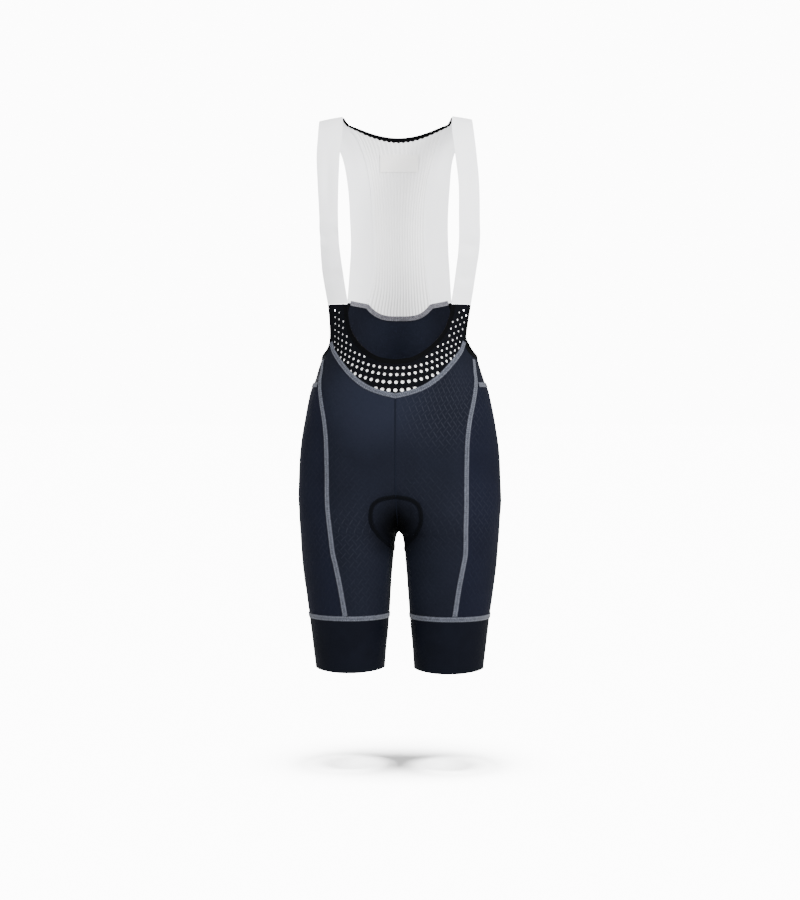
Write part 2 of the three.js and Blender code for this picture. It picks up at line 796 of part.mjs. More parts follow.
function backPanel() {
  const columns = 2 * RIBS.count;
  const sides = STRAP_STATIONS.filter((station) => station > BACK_FIRST - 0.01);
  const place = (station, column, across) => {
    const share = (2 * column) / columns - 1;
    const top = BACK_FIRST + neckDip(share);
    const x = mix(edgeAt('leftInner', across), edgeAt('rightInner', across), column / columns);
    return [backLevel(top, ribBottom(share), station), x];
  };
  const rows = sides.map((station) => Array.from({ length: columns + 1 }, (_, column) => {
    const crest = column % 2 ? RIBS.height : 0;
    return cell(shoulder, ...place(station, column, station), { rise: crest, thick: CLOTH + crest });
  }));
  add('back_rib', wall(rows), WHITE);
  const bindingColumns = columns / 2;
  const binding = [0, NECK_BINDING_STATIONS].map((step) => (
    Array.from({ length: bindingColumns + 1 }, (_, column) => {
      const station = NECK.side + step;
      const share = (2 * column) / bindingColumns - 1;
      const across = column / bindingColumns;
      const x = mix(edgeAt('leftInner', station), edgeAt('rightInner', station), across);
      return [station + neckDip(share), x];
    })
  ));
  const shape = { thick: BINDING + 2 * BINDING_PROUD, lift: 2 * BINDING_PROUD };
  add('neck_binding', wall(lay(shoulder, binding), shape), BLACK);
  const label = [10.8, 11.1, 11.45].map((station) => (
    [-33.5, -16.5, 0, 16.5, 33].map((x) => [station, x])
  ));
  const labelShape = { thick: LABEL.thick, lift: -CLOTH - RIBS.height - LABEL.gap };
  add('neck_label', wall(lay(shoulder, label), labelShape), WHITE);
}

// Flat seams
function tapes() {
  const flat = (name, surface, line, closed) => {
    add(name, tape(line.map(([p, q]) => cell(surface, p, q)), TAPE, closed), GREY);
  };
  const clearance = TAPE.width / 2 + 1;
  const end = CUFF_SEAM - clearance;
  flat('seam_u', torso, acrossFront(uSeam));
  const yokeLine = yokeBottom.map(([angle, down], i) => [i ? angle : angle + YOKE_TAPE_END, down]);
  flat('seam_yoke', torso, acrossBack(yokeLine));
  const backTop = yokeTop.slice(backMarks.length - 1);
  const backCells = acrossBack(backTop).map(([p, q]) => cell(torso, p, q));
  const overRibs = { ...TAPE, lift: RIBS.height + 0.4 };
  const underRibs = { ...TAPE, lift: -CLOTH - RIBS.height - 0.4 - TAPE.thick };
  add('seam_back_top', tape(backCells, overRibs), GREY);
  add('seam_back_top_inner', tape(backCells, underRibs), GREY);
  for (const [name, side] of SIDES) {
    const surface = half(side);
    const front = steps(SIDE_SEAM_TOP + 2.5, end, 17).map((down) => [sideFront(down, side), down]);
    flat(`seam_side_front_${name}`, surface, front);
    const back = steps(YOKE_SEAM + clearance, end, 15).map((down) => [sideBack(down), down]);
    flat(`seam_side_back_${name}`, surface, back);
    flat(`seam_cuff_${name}`, surface, legRows(side).cuffTop, true);
  }
}

// The seat pad and its sewn outline
function pad() {
  const seam = [
    ...PAD_FRONT_LEVELS.map((down) => [frontMiddle(down), down]),
    ...PAD_BACK_LEVELS.map((down) => [backMiddle(down) - 360, down]),
  ];
  const line = spaced(rowsOf(PAD_SIDE, 'angle', 'down'), seam.length - 1);
  const reach = 4;
  const rows = seam.map((middle, i) => {
    const lengthShare = Math.sin((Math.PI * i) / (seam.length - 1));
    return Array.from({ length: 2 * reach + 1 }, (_, j) => {
      const share = Math.abs(j - reach) / reach;
      const place = between(middle, line[i], share);
      const here = cell(half(j < reach ? -1 : 1), ...place);
      let stretch = 1;
      if (j === reach) {
        const own = here.normal.clone();
        here.normal.add(normalAt(half(-1), ...place)).normalize();
        stretch = Math.min(1 / own.dot(here.normal), 2.5);
      }
      here.point.addScaledVector(here.normal, -(CLOTH + PAD.gap) * stretch);
      here.thick = mix(PAD.edge, PAD.thick, (1 - share ** 3) * lengthShare);
      return here;
    });
  });
  add('pad', wall(rows), DARK);
  const outline = spaced([
    [frontMiddle(PAD_FRONT.down) + 0.8, PAD_FRONT.down],
    PAD_FRONT.corner,
    ...rowsOf(PAD_SIDE, 'angle', 'down'),
    ...PAD_BACK.corners,
    [backMiddle(PAD_BACK.down) - 360 - 0.8, PAD_BACK.down],
  ], 30);
  for (const [name, side] of SIDES) {
    const cells = outline.map(([p, q]) => cell(half(side), p, q));
    add(`pad_outline_${name}`, tape(cells, PAD_TAPE), DARK);
  }
}

legs();
waist();
perforatedFront();
straps();
backPanel();
tapes();
pad();

export default shorts;
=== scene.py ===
# Cycling bib shorts, worn and hollow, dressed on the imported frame.
# Sizes in the tables are millimetres and become metres in the meshes.
# +Z is up, the front faces -Y, and "down" is the distance below the shoulders.
import math

import bmesh
import bpy
import numpy as np
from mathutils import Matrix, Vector
from mathutils.geometry import delaunay_2d_cdt


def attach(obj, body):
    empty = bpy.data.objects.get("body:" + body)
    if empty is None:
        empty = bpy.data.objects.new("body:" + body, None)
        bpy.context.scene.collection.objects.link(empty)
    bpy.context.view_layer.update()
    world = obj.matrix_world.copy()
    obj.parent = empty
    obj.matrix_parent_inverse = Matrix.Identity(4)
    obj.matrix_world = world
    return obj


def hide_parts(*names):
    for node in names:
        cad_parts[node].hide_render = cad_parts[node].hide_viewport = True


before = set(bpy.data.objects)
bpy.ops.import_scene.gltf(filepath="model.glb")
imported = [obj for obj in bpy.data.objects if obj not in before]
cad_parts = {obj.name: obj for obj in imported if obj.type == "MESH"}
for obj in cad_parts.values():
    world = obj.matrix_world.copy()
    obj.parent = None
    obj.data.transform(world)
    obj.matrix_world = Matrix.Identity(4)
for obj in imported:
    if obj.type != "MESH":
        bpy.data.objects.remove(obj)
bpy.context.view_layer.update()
MM = 0.001

# Driving dimensions. The garment's lines are the solids' own, apart from the dip of the hem, and its
# cloth is a little thinner
HEM = 922.0
HEM_DIP = 3.5
CUFF_SEAM = 834.0
CROTCH = 694.0
YOKE_SEAM = 449.0
FRONT_STRAP_BASE = 316.0
BACK_STRAP_BASE = 307.0
BACK_DIP = 27.0
BASE_DROP = 6.0
CLOTH = 1.3
NET_THICK = 0.8
BINDING = 2.0
BINDING_PROUD = 0.35
ARMHOLE_BINDING_WIDTH = 6.5
WAIST_BAND_WIDTH = 8.0
CORNER_DOWN = 377.0
SIDE_SEAM_TOP = 404.0
RIB_COUNT = 20
RIB_HEIGHT = 0.6
TWIST = {"turn": -4.25, "top": 310.0, "bottom": 395.0}
LEAN = {"across": 5.5, "top": 620.0, "bottom": 750.0}
SPAN_FRONT = 90.0
SPAN_BACK = 130.0
DEGREE_LENGTH = 2.27
STRETCH = np.array((DEGREE_LENGTH, 1))
DENSE = 240
SEAM_GAP = 0.36
JOIN = 580.0
SHARP_ANGLE = 50
SIDES = (("left", -1), ("right", 1))


def table(names, rows):
    """Named columns of a short table."""
    columns = np.array(rows, dtype=float).T
    return dict(zip(names, columns))


def read(columns, key, name, at):
    """A column read between its rows along a smooth curve."""
    xs, ys = columns[key], columns[name]
    x = np.clip(np.asarray(at, dtype=float), xs[0], xs[-1])
    i = np.clip(np.searchsorted(xs, x, side="left") - 1, 0, len(xs) - 2)
    before = np.maximum(np.arange(len(xs)) - 1, 0)
    after = np.minimum(np.arange(len(xs)) + 1, len(xs) - 1)
    slope = (ys[after] - ys[before]) / (xs[after] - xs[before])
    span = xs[i + 1] - xs[i]
    t = (x - xs[i]) / span
    t2, t3 = t * t, t * t * t
    start = (2 * t3 - 3 * t2 + 1) * ys[i] + (t3 - 2 * t2 + t) * span * slope[i]
    end = (3 * t2 - 2 * t3) * ys[i + 1] + (t3 - t2) * span * slope[i + 1]
    return start + end


# Body rings: half width and depth in front of and behind the side line
RING = table(("down", "half_width", "front", "back"), [
    (290, 143, 84, 80.4),
    (307, 141, 84, 80),
    (316, 139.8, 84, 79.7),
    (350, 134.2, 84.5, 78.5),
    (376, 131.2, 85, 78.5),
    (397, 130, 86, 79.5),
    (417, 134.4, 87.5, 82),
    (437, 141, 89, 86),
    (457, 148.7, 90.5, 91),
    (477, 153.7, 91.5, 97),
    (507, 159.6, 92, 106),
    (554, 167, 91, 115),
    (601, 169.7, 88.5, 118),
    (648, 170.5, 86.5, 111),
    (695, 167, 84, 97),
    (743, 163.8, 79.5, 86),
    (790, 158, 73, 80),
    (837, 151, 66.5, 75.5),
    (884, 145.3, 61, 71),
    (920, 141, 57, 68),
])

# Above the crotch each half is part of an oval centred this far from the middle
SPLIT = table(("down", "centre"), [
    (470, 0),
    (500, 8),
    (544, 26),
    (594, 50),
    (634, 67),
    (674, 79.2),
    (694, 83.55),
])

LEG_GAP = table(("down", "half"), [
    (694, 0),
    (697, 3),
    (700, 4.6),
    (708, 6.6),
    (719, 8.4),
    (743, 10.9),
    (766, 13),
    (790, 14.5),
    (813, 16),
    (837, 17.7),
    (860, 19.3),
    (884, 21.8),
    (907, 23.5),
    (920, 24.4),
])

SIDE_FRONT = table(("down", "across"), [
    (404, 125),
    (421, 126.8),
    (437, 128.8),
    (454, 128.8),
    (470, 126.8),
    (487, 123.9),
    (504, 120.5),
    (527, 117.6),
    (547, 116),
    (586, 115),
    (646, 114.3),
    (686, 111.4),
    (726, 108.5),
    (746, 104.4),
    (785, 97),
    (834, 89.5),
])

SIDE_BACK = table(("down", "angle"), [
    (449, 122),
    (560, 127),
    (700, 138),
    (834, 150),
])

ARMHOLE = table(("angle", "down"), [
    (57.8, 316),
    (58.3, 345),
    (59.8, 375),
    (65.5, 388.5),
    (75, 396),
    (87, 399.5),
    (100, 397),
    (113, 386),
    (125, 363),
    (134, 336),
    (140.6, 307),
])

U_SEAM = table(("across", "down"), [
    (0, 467.3),
    (22, 462.2),
    (44, 454.3),
    (60, 444.6),
    (75, 432),
    (88, 417.5),
    (98, 404.5),
    (106, 391.5),
])

WAIST_EDGE = table(("across", "down"), [
    (0, 407.6),
    (24.5, 404),
    (36, 399),
    (47.3, 392),
    (60.3, 380.5),
    (69.3, 369.6),
    (76.6, 358),
    (81, 345),
    (84, 331),
    (85, 316),
])

PAD_SIDE = table(("angle", "down"), [
    (-20, 645),
    (-20.7, 658),
    (-25.3, 674),
    (-35.4, 690),
    (-50.9, 704),
    (-68.7, 716),
    (-90, 724),
    (-112, 715),
    (-136.6, 700),
    (-160.8, 680),
    (-177.3, 655),
    (-186.7, 625),
])
PAD_FRONT = {"down": 632.0, "corner": (-25, 636.5)}
PAD_BACK = {"down": 598.0, "corners": ((-182, 604), (-169, 599))}

DOT_ROWS = table(("down", "size"), [
    (335, 2.7),
    (346, 3.0),
    (357, 3.5),
    (368, 3.8),
    (378.5, 3.8),
    (389, 3.9),
    (399.8, 4),
    (410.4, 4.2),
    (421.8, 4.5),
    (432.5, 4.9),
    (444.9, 5.4),
    (457.9, 5.9),
])
DOTS = {"turn": 4.2, "lean": 0.47, "arch": 0.00294, "fade": 0.14, "reach": 112.0, "margin": 0.6,
        "top": 325.0}

SHOULDER = table(
    ("station", "y", "z", "roll_width", "roll_depth", "left_inner", "left_outer", "right_inner",
     "right_outer"),
    [
        (0, -84, -316, 139.8, 84, -85, -118.4, 85, 118.4),
        (1, -91, -270, 149, 78, -92.3, -126.8, 91.8, 125.6),
        (2, -95, -220, 160, 68, -98.6, -130.2, 97, 132),
        (3, -96, -170, 167, 60, -100.4, -131.6, 97.2, 132),
        (4, -92, -120, 173, 55, -99.8, -134, 96.6, 131),
        (5, -79, -70, 182, 52, -98, -136.5, 91.6, 127.4),
        (6, -55, -25, 190, 48, -94, -135, 87, 123.5),
        (7, -27, 0.5, 190, 46, -94.5, -134.5, 87.5, 121.8),
        (8, 0, 7.5, 190, 46, -95.4, -133.9, 88.9, 120.8),
        (9, 26, 1, 190, 46, -91, -130, 86, 117.5),
        (10, 50, -23, 186, 48, -72, -113, 72, 106),
        (11, 69, -60, 178, 51, -57, -97, 58.8, 91.5),
        (12, 80, -110, 170, 56, -48, -88.5, 47.6, 86.7),
        (13, 86, -160, 163, 61, -45, -85.6, 44.1, 83.9),
        (14, 87, -210, 156, 67, -43.2, -84, 45, 84.2),
        (15, 84, -260, 149, 74, -45.5, -86.5, 49, 86.8),
        (16, 80, -307, 141, 80, -55.7, -89.5, 55.7, 89.5),
        (17, 78.5, -350, 134.2, 78.5, -60, -92, 60, 92),
    ],
)
NECK_SIDE = 9.2
NECK_DIP = 0.9
NECK_BINDING_STATIONS = 0.2
LAST_STATION = 16.0


# The body surface
def smooth(t):
    inside = np.clip(t, 0, 1)
    return inside * inside * (3 - 2 * inside)


def twisted(x, y, z):
    share = smooth((-z - TWIST["top"]) / (TWIST["bottom"] - TWIST["top"]))
    turn = math.radians(TWIST["turn"]) * share
    turned_x = x * np.cos(turn) - y * np.sin(turn)
    turned_y = x * np.sin(turn) + y * np.cos(turn)
    return np.stack([turned_x, turned_y, z + 0 * turned_x], axis=-1)


def half_width(down):
    return read(RING, "down", "half_width", down)


def leg_centre(down):
    above = np.maximum(read(SPLIT, "down", "centre", down), 0)
    below = (half_width(down) + read(LEG_GAP, "down", "half", down)) / 2
    return np.where(np.asarray(down) <= CROTCH, above, below)


def ring_points(side, angle, down):
    """Points on one half. Above the crotch the two ovals turn into one."""
    angle, down = np.broadcast_arrays(np.asarray(angle, float), np.asarray(down, float))
    centre, width, turn = leg_centre(down), half_width(down), np.radians(angle)
    front, back = (read(RING, "down", name, down) for name in ("front", "back"))
    in_front = np.cos(turn) > 0
    across = centre + (width - centre) * np.sin(turn)
    spanned = smooth((CROTCH - down) / np.where(in_front, SPAN_FRONT, SPAN_BACK))
    single = np.sqrt(np.maximum(1 - (across / width) ** 2, 0)) * np.sign(np.cos(turn))
    share = np.cos(turn) * (1 - spanned) + single * spanned
    return twisted(side * across, -np.where(in_front, front, back) * share, -down)


def angle_across(across, down):
    centre = leg_centre(down)
    return np.degrees(np.arcsin(np.clip((across - centre) / (half_width(down) - centre), -1, 1)))


def front_middle(down):
    return np.where(np.asarray(down) >= CROTCH, -90.0, angle_across(0, down))


def back_middle(down):
    return 180 - front_middle(down)


def side_front(down, side=0):
    """Angle of the front side seam, which leans to one side down the legs."""
    lean = LEAN["across"] * smooth((down - LEAN["top"]) / (LEAN["bottom"] - LEAN["top"]))
    return angle_across(read(SIDE_FRONT, "down", "across", down) + side * lean, down)


def side_back(down):
    return read(SIDE_BACK, "down", "angle", down)


class Half:
    """The surface of the left half (-1) or the right half (1) in angle and down."""
    step = (0.5, 0.5)

    def __init__(self, side):
        self.side = side

    def point(self, angle, down):
        return ring_points(self.side, angle, down)

    def core(self, angle, down):
        down = np.asarray(down, float)
        return twisted(self.side * leg_centre(down), 0 * down, -down)


class Shoulder:
    """The surface of the straps and the back in stations along the way over the shoulder, and x."""
    step = (0.02, 0.5)

    def outward(self, station):
        step = self.step[0]
        middle = np.maximum(station, step)
        ends = [read(SHOULDER, "station", name, middle + sign * step)
                for name in ("y", "z") for sign in (1, -1)]
        out_y, out_z = -(ends[2] - ends[3]), ends[0] - ends[1]
        level = smooth(station / 1.5) * smooth((LAST_STATION - station) / 2)
        length = np.hypot(out_y, out_z)
        out_y, out_z = out_y / length, out_z / length * level
        length = np.hypot(out_y, out_z)
        return out_y / length, out_z / length

    def point(self, station, x):
        station, x = np.broadcast_arrays(np.asarray(station, float), np.asarray(x, float))
        out_y, out_z = self.outward(station)
        share = np.minimum(np.abs(x) / read(SHOULDER, "station", "roll_width", station), 0.98)
        roll = read(SHOULDER, "station", "roll_depth", station) * (1 - np.sqrt(1 - share ** 2))
        y = read(SHOULDER, "station", "y", station) - out_y * roll
        z = read(SHOULDER, "station", "z", station) - out_z * roll
        return twisted(x, y, z)

    def core(self, station, x):
        out_y, out_z = self.outward(np.asarray(station, float))
        inward = np.stack([0 * out_y, -out_y, -out_z], axis=-1)
        return self.point(station, x) + 10 * inward


TORSO = Half(1)
SHOULDERS = Shoulder()


def normals(surface, p, q):
    dp, dq = surface.step
    along = surface.point(p + dp, q) - surface.point(p - dp, q)
    across = surface.point(p, q + dq) - surface.point(p, q - dq)
    normal = np.cross(along, across)
    normal /= np.linalg.norm(normal, axis=-1, keepdims=True)
    outward = surface.point(p, q) - surface.core(p, q)
    facing = np.sign((normal * outward).sum(axis=-1, keepdims=True))
    return normal * np.where(facing == 0, 1, facing)


# Lines in the unrolled cloth
def walked(line):
    """The way along a line up to each of its points."""
    return np.concatenate([[0], np.cumsum(np.hypot(*np.diff(line, axis=0).T))])


def interpolated(at, done, line):
    """A line read at lengths of the way along it."""
    return np.stack([np.interp(at, done, column) for column in line.T], axis=1)


def spaced(points, cells):
    """Even steps along a smooth curve through a few places."""
    flat = np.array(points, float) * STRETCH
    way = {"t": walked(flat), "u": flat[:, 0], "v": flat[:, 1]}
    fine = np.linspace(0, way["t"][-1], 40 * len(flat))
    line = np.stack([read(way, "t", "u", fine), read(way, "t", "v", fine)], axis=1)
    done = walked(line)
    return interpolated(np.linspace(0, done[-1], cells + 1), done, line) / STRETCH


def beside(line, distance):
    """A line this far beside another, on the right hand of its way."""
    along = np.gradient(line * STRETCH, axis=0)
    along /= np.linalg.norm(along, axis=1, keepdims=True)
    moved = np.stack([-along[:, 1] / DEGREE_LENGTH, along[:, 0]], axis=1)
    return line + distance * moved


def rows_of(columns, first, second):
    return np.stack([columns[first], columns[second]], axis=1)


def across_rows(columns):
    return np.stack([angle_across(columns["across"], columns["down"]), columns["down"]], axis=1)


def resampled(line, cells):
    """The same line with another number of cells, spread over its own points."""
    return interpolated(np.linspace(0, len(line) - 1, cells + 1), np.arange(len(line)), line)


def resampled_evenly(line, cells):
    done = walked(line * STRETCH)
    return interpolated(np.linspace(0, done[-1], cells + 1), done, line)


def across_front(line):
    return np.concatenate([line[:0:-1] * (-1, 1), line])


def across_back(line):
    return np.concatenate([line * (-1, 1), line[-2::-1] - (360, 0)])


back_edge = SHOULDER["right_inner"][int(LAST_STATION)]
back_outer = SHOULDER["right_outer"][int(LAST_STATION)]
DIP_POWER = 3.4


def dip_at(share):
    """Level of the back panel's lower edge at a share of its half width."""
    return BACK_STRAP_BASE + BASE_DROP + (BACK_DIP - BASE_DROP) * (1 - share ** DIP_POWER)


def strap_base_at(across):
    share = (across - back_edge) / (back_outer - back_edge)
    return dip_at(1) + (BACK_STRAP_BASE - dip_at(1)) * share


def ruled(first, last, cells):
    t = np.linspace(0, 1, cells + 1)[:, None, None]
    return first[None] * (1 - t) + last[None] * t


armhole_edge = spaced(rows_of(ARMHOLE, "angle", "down"), DENSE)
armhole_seam = beside(armhole_edge, ARMHOLE_BINDING_WIDTH)
armhole_seam[0, 1] = FRONT_STRAP_BASE
armhole_across = float(half_width(BACK_STRAP_BASE)) * math.sin(math.radians(armhole_seam[-1, 0]))
armhole_seam[-1, 1] = strap_base_at(armhole_across)
corner_mark = int(np.argmax(armhole_seam[:, 1] >= CORNER_DOWN))
side_mark = int(np.argmax(armhole_seam[:, 0] >= side_front(SIDE_SEAM_TOP)))
u_seam = spaced(np.concatenate([across_rows(U_SEAM), armhole_seam[corner_mark:corner_mark + 1]]), 60)
waist_edge = spaced(across_rows(WAIST_EDGE), DENSE)
waist_seam = beside(waist_edge, WAIST_BAND_WIDTH)
waist_seam[0, 0] = 0
waist_seam[-1, 1] = FRONT_STRAP_BASE

dip_shares = np.linspace(1, 0, 21)
dip_down = dip_at(dip_shares)
dip_line = np.stack([180 - angle_across(dip_shares * back_edge, dip_down), dip_down], axis=1)
strap_base = np.linspace(armhole_seam[-1], dip_line[0], 9)
back_top = np.concatenate([strap_base, dip_line[1:]])
yoke_top = np.concatenate([resampled(armhole_seam[side_mark:], 36)[:-1], back_top])


# Meshes
def laid(surface, cells):
    """Points and outward normals of a grid of surface places."""
    p, q = cells[..., 0], cells[..., 1]
    return surface.point(p, q), normals(surface, p, q)


def pulled(points, closed, gap=SEAM_GAP / 2):
    """Each edge of a sheet stands back by half a seam gap."""
    moved = points.copy()
    borders = [((0,), (1,)), ((-1,), (-2,))]
    if not closed:
        borders += [((slice(None), 0), (slice(None), 1)), ((slice(None), -1), (slice(None), -2))]
    for edge, inward in borders:
        way = points[inward] - points[edge]
        moved[edge] += gap * way / np.linalg.norm(way, axis=-1, keepdims=True)
    return moved


def wall_faces(rows, columns, closed):
    index = np.arange(rows * columns).reshape(rows, columns)
    under = rows * columns
    if closed:
        index = np.concatenate([index, index[:, :1]], axis=1)
    corners = [index[:-1, :-1], index[:-1, 1:], index[1:, 1:], index[1:, :-1]]
    outer = np.stack(corners, axis=-1).reshape(-1, 4)
    borders = [index[0], index[-1][::-1]]
    if not closed:
        borders += [index[:, -1], index[::-1, 0]]
    rims = [np.stack([b[1:], b[:-1], b[:-1] + under, b[1:] + under], axis=-1) for b in borders]
    return np.concatenate([outer, outer[:, ::-1] + under, *rims]).tolist()


def added(name, data):
    """A new object in the scene."""
    made = bpy.data.objects.new(name, data)
    bpy.context.scene.collection.objects.link(made)
    return made


def mesh_piece(name, points, faces, finish, flat=None):
    """A mesh object from points in millimetres. flat holds places in the unrolled cloth."""
    mesh = bpy.data.meshes.new(name)
    mesh.from_pydata((points * MM).tolist(), [], faces)
    work = bmesh.new()
    work.from_mesh(mesh)
    bmesh.ops.recalc_face_normals(work, faces=work.faces)
    work.to_mesh(mesh)
    work.free()
    mesh.shade_smooth()
    mesh.set_sharp_from_angle(angle=math.radians(SHARP_ANGLE))
    flat = points if flat is None else flat
    flat = np.concatenate([flat, np.zeros((len(flat), 3 - flat.shape[1]))], axis=1)
    attribute = mesh.attributes.new("cloth", "FLOAT_VECTOR", "POINT")
    attribute.data.foreach_set("vector", flat.astype(np.float32).ravel())
    mesh.materials.append(finish)
    return added(name, mesh)


def unrolled(points):
    """Places in the flat cloth: lengths along the rows from the middle column, and down the columns."""
    across = np.linalg.norm(np.diff(points, axis=1), axis=-1)
    along = np.linalg.norm(np.diff(points, axis=0), axis=-1)
    u = np.concatenate([np.zeros((len(points), 1)), np.cumsum(across, axis=1)], axis=1)
    v = np.concatenate([np.zeros((1, points.shape[1])), np.cumsum(along, axis=0)])
    middle = points.shape[1] // 2
    return np.stack([u - u[:, middle:middle + 1], v + points[0, :, 2].max() - points[0, :, 2]], axis=-1)


def cloth_wall(name, surface, cells, finish, thick=CLOTH, lift=0.0, closed=False, rise=0.0,
               inside=0.0):
    """A thin wall of cloth on a surface, with its creases. rise raises both faces.

    The extra coordinate of the unrolled cloth holds the rise, which the ribbed finish uses for painted
    shade in the grooves, and on the inner face also inside, which the navy finish uses for painted light.
    """
    points, normal = laid(surface, cells)
    rise = np.broadcast_to(rise, points.shape[:2])
    flat = np.concatenate([unrolled(points), rise[..., None] / RIB_HEIGHT], axis=-1)
    level = lift + rise + creases(points)
    outer = pulled(points, closed) + normal * level[..., None]
    inner = outer - normal * (thick + 2 * rise)[..., None]
    rows, columns = points.shape[:2]
    both = np.concatenate([outer.reshape(-1, 3), inner.reshape(-1, 3)])
    under = flat + (0, 0, inside)
    made = mesh_piece(name, both, wall_faces(rows, columns, closed), finish,
                      np.concatenate([flat.reshape(-1, 3), under.reshape(-1, 3)]))
    return made


def measured(points, closed):
    """Flat width, length and area of a sheet, in metres."""
    ring = np.concatenate([points, points[:, :1]], axis=1) if closed else points
    width = np.linalg.norm(np.diff(ring, axis=1), axis=-1).sum(axis=1).max()
    length = np.linalg.norm(np.diff(ring, axis=0), axis=-1).sum(axis=0).max()
    first, second = ring[1:, 1:] - ring[:-1, :-1], ring[1:, :-1] - ring[:-1, 1:]
    area = np.linalg.norm(np.cross(first, second), axis=-1).sum() / 2
    return width * MM, length * MM, area * MM * MM


# Creases. Each runs from a first place over a middle one to a last, on a half or on the shoulders (0).
# Places are angle and down on a half, and station and x on the shoulders.
FOLDS = table(
    ("surface", "first_p", "first_q", "middle_p", "middle_q", "last_p", "last_q", "depth", "width"),
    [
        (-1, -58, 640, -76, 668, -89, 692, 3.0, 5),
        (1, -66, 648, -80, 674, -89, 692, 1.8, 5),
        (-1, -88, 700, -52, 700, -18, 676, 1.4, 8),
        (1, -88, 702, -50, 706, -14, 690, 1.2, 8),
        (-1, -86, 716, -58, 728, -26, 722, 0.9, 7),
        (1, -84, 720, -56, 730, -30, 728, 0.8, 7),
        (-1, -6, 600, 10, 585, 26, 560, 0.7, 11),
        (1, -4, 596, 12, 578, 28, 556, 0.7, 11),
        (-1, 20, 470, 34, 490, 42, 520, 0.6, 10),
        (1, 22, 478, 36, 500, 44, 532, 0.6, 10),
        (-1, 62, 420, 78, 438, 96, 446, 0.9, 8),
        (1, 60, 424, 78, 440, 98, 446, 0.9, 8),
        (-1, 70, 640, 92, 668, 118, 680, 0.8, 12),
        (1, 72, 650, 94, 676, 120, 688, 0.8, 12),
        (-1, 30, 770, 56, 790, 88, 796, 0.7, 9),
        (1, 28, 780, 54, 798, 86, 802, 0.7, 9),
        (-1, 150, 700, 195, 716, 248, 700, 1.9, 11),
        (1, 148, 704, 195, 720, 250, 702, 1.9, 11),
        (-1, 165, 724, 205, 740, 250, 728, 1.3, 9),
        (1, 168, 730, 208, 742, 246, 726, 1.2, 9),
        (-1, 200, 640, 228, 668, 256, 688, 1.2, 9),
        (1, 198, 636, 228, 664, 258, 688, 1.2, 9),
        (-1, 120, 790, 160, 806, 210, 798, 1.1, 9),
        (1, 118, 794, 160, 812, 214, 800, 1.1, 9),
        (-1, 140, 760, 176, 772, 220, 764, 0.8, 8),
        (1, 138, 766, 178, 778, 218, 768, 0.8, 8),
        (-1, 128, 396, 150, 410, 176, 404, 1.3, 8),
        (1, 126, 400, 152, 414, 178, 410, 1.3, 8),
        (-1, 136, 424, 156, 434, 174, 428, 0.9, 7),
        (1, 138, 420, 158, 432, 176, 430, 0.9, 7),
        (-1, 110, 860, 160, 872, 215, 864, 0.7, 8),
        (1, 108, 864, 160, 876, 216, 866, 0.7, 8),
        (0, 2.45, -100, 2.35, -116, 2.1, -131, 2.2, 9),
        (0, 2.1, 98, 1.95, 114, 1.85, 131, 2.2, 10),
        (0, 5.6, -116, 4.2, -120, 2.8, -116, 1.3, 6.5),
        (0, 5.4, 112, 4.2, 110, 3.0, 113, 0.9, 6.5),
        (0, 1.2, -94, 0.9, -108, 0.8, -124, 1.3, 8),
        (0, 1.0, 93, 0.8, 108, 0.9, 122, 1.3, 8),
        (0, 9.6, -90, 10.6, -74, 12.0, -66, 0.9, 7),
        (0, 9.6, 86, 10.6, 72, 12.0, 64, 0.9, 7),
        (0, 13.4, -66, 14.2, -30, 14.0, 4, 0.8, 12),
        (0, 14.8, 62, 14.2, 36, 14.6, 10, 0.7, 11),
        (0, 12.4, 50, 12.9, 26, 12.6, -2, 0.5, 12),
        (0, 15.2, -78, 15.5, -64, 15.3, -46, 0.7, 8),
    ],
)


def fold_paths():
    """Points along each crease, with the ways along it and across it."""
    found = []
    t = np.linspace(0, 1, 25)[:, None]
    for row in np.array(list(FOLDS.values())).T:
        surface = Half(row[0]) if row[0] else SHOULDERS
        first, middle, last = row[1:7].reshape(3, 2)
        flat = first * (1 - t) ** 2 + 2 * middle * t * (1 - t) + last * t ** 2
        points, normal = laid(surface, flat)
        along = np.gradient(points, axis=0)
        step = np.linalg.norm(along, axis=-1, keepdims=True)
        found.append((points, along / step, np.cross(along / step, normal), step[:, 0], row[7:]))
    return found


PATHS = fold_paths()


def ripples(points):
    """Slight unevenness all over, in millimetres."""
    x, y, z = points.T
    slow = np.sin(z / 31 + x / 47 + 0.8) * np.sin(x / 26 - y / 35 + 0.3)
    quick = np.sin(z / 13 - x / 19 + 1.1) * np.sin(x / 11 + y / 14 + z / 37)
    return 0.32 * slow + 0.14 * quick


def creases(points):
    """How far the cloth stands out from its surface at these points, in millimetres."""
    flat = points.reshape(-1, 3)
    raised = ripples(flat)
    for number, (path, along, across, step, (depth, width)) in enumerate(PATHS):
        reach = 4 * width
        low, high = path.min(axis=0) - reach, path.max(axis=0) + reach
        near = np.flatnonzero(((flat > low) & (flat < high)).all(axis=1))
        if not len(near):
            continue
        gaps = flat[near, None] - path
        nearest = (gaps ** 2).sum(axis=-1).argmin(axis=1)
        gap = gaps[np.arange(len(near)), nearest]
        share = (nearest + (gap * along[nearest]).sum(axis=-1) / step[nearest]) / (len(path) - 1)
        off = (gap * across[nearest]).sum(axis=-1) / width
        fade = np.sin(math.pi * np.clip(share, 0, 1)) ** 0.8
        fade *= (np.linalg.norm(gap, axis=-1) < reach) * (0.8 + 0.2 * np.sin(9 * share + number))
        form = 0.55 * np.exp(-((off - 1.9) / 1.15) ** 2) - np.exp(-off ** 2)
        form += 0.3 * np.exp(-((off + 2.1) / 1.3) ** 2)
        raised[near] += depth * fade * form
    return raised.reshape(points.shape[:-1])


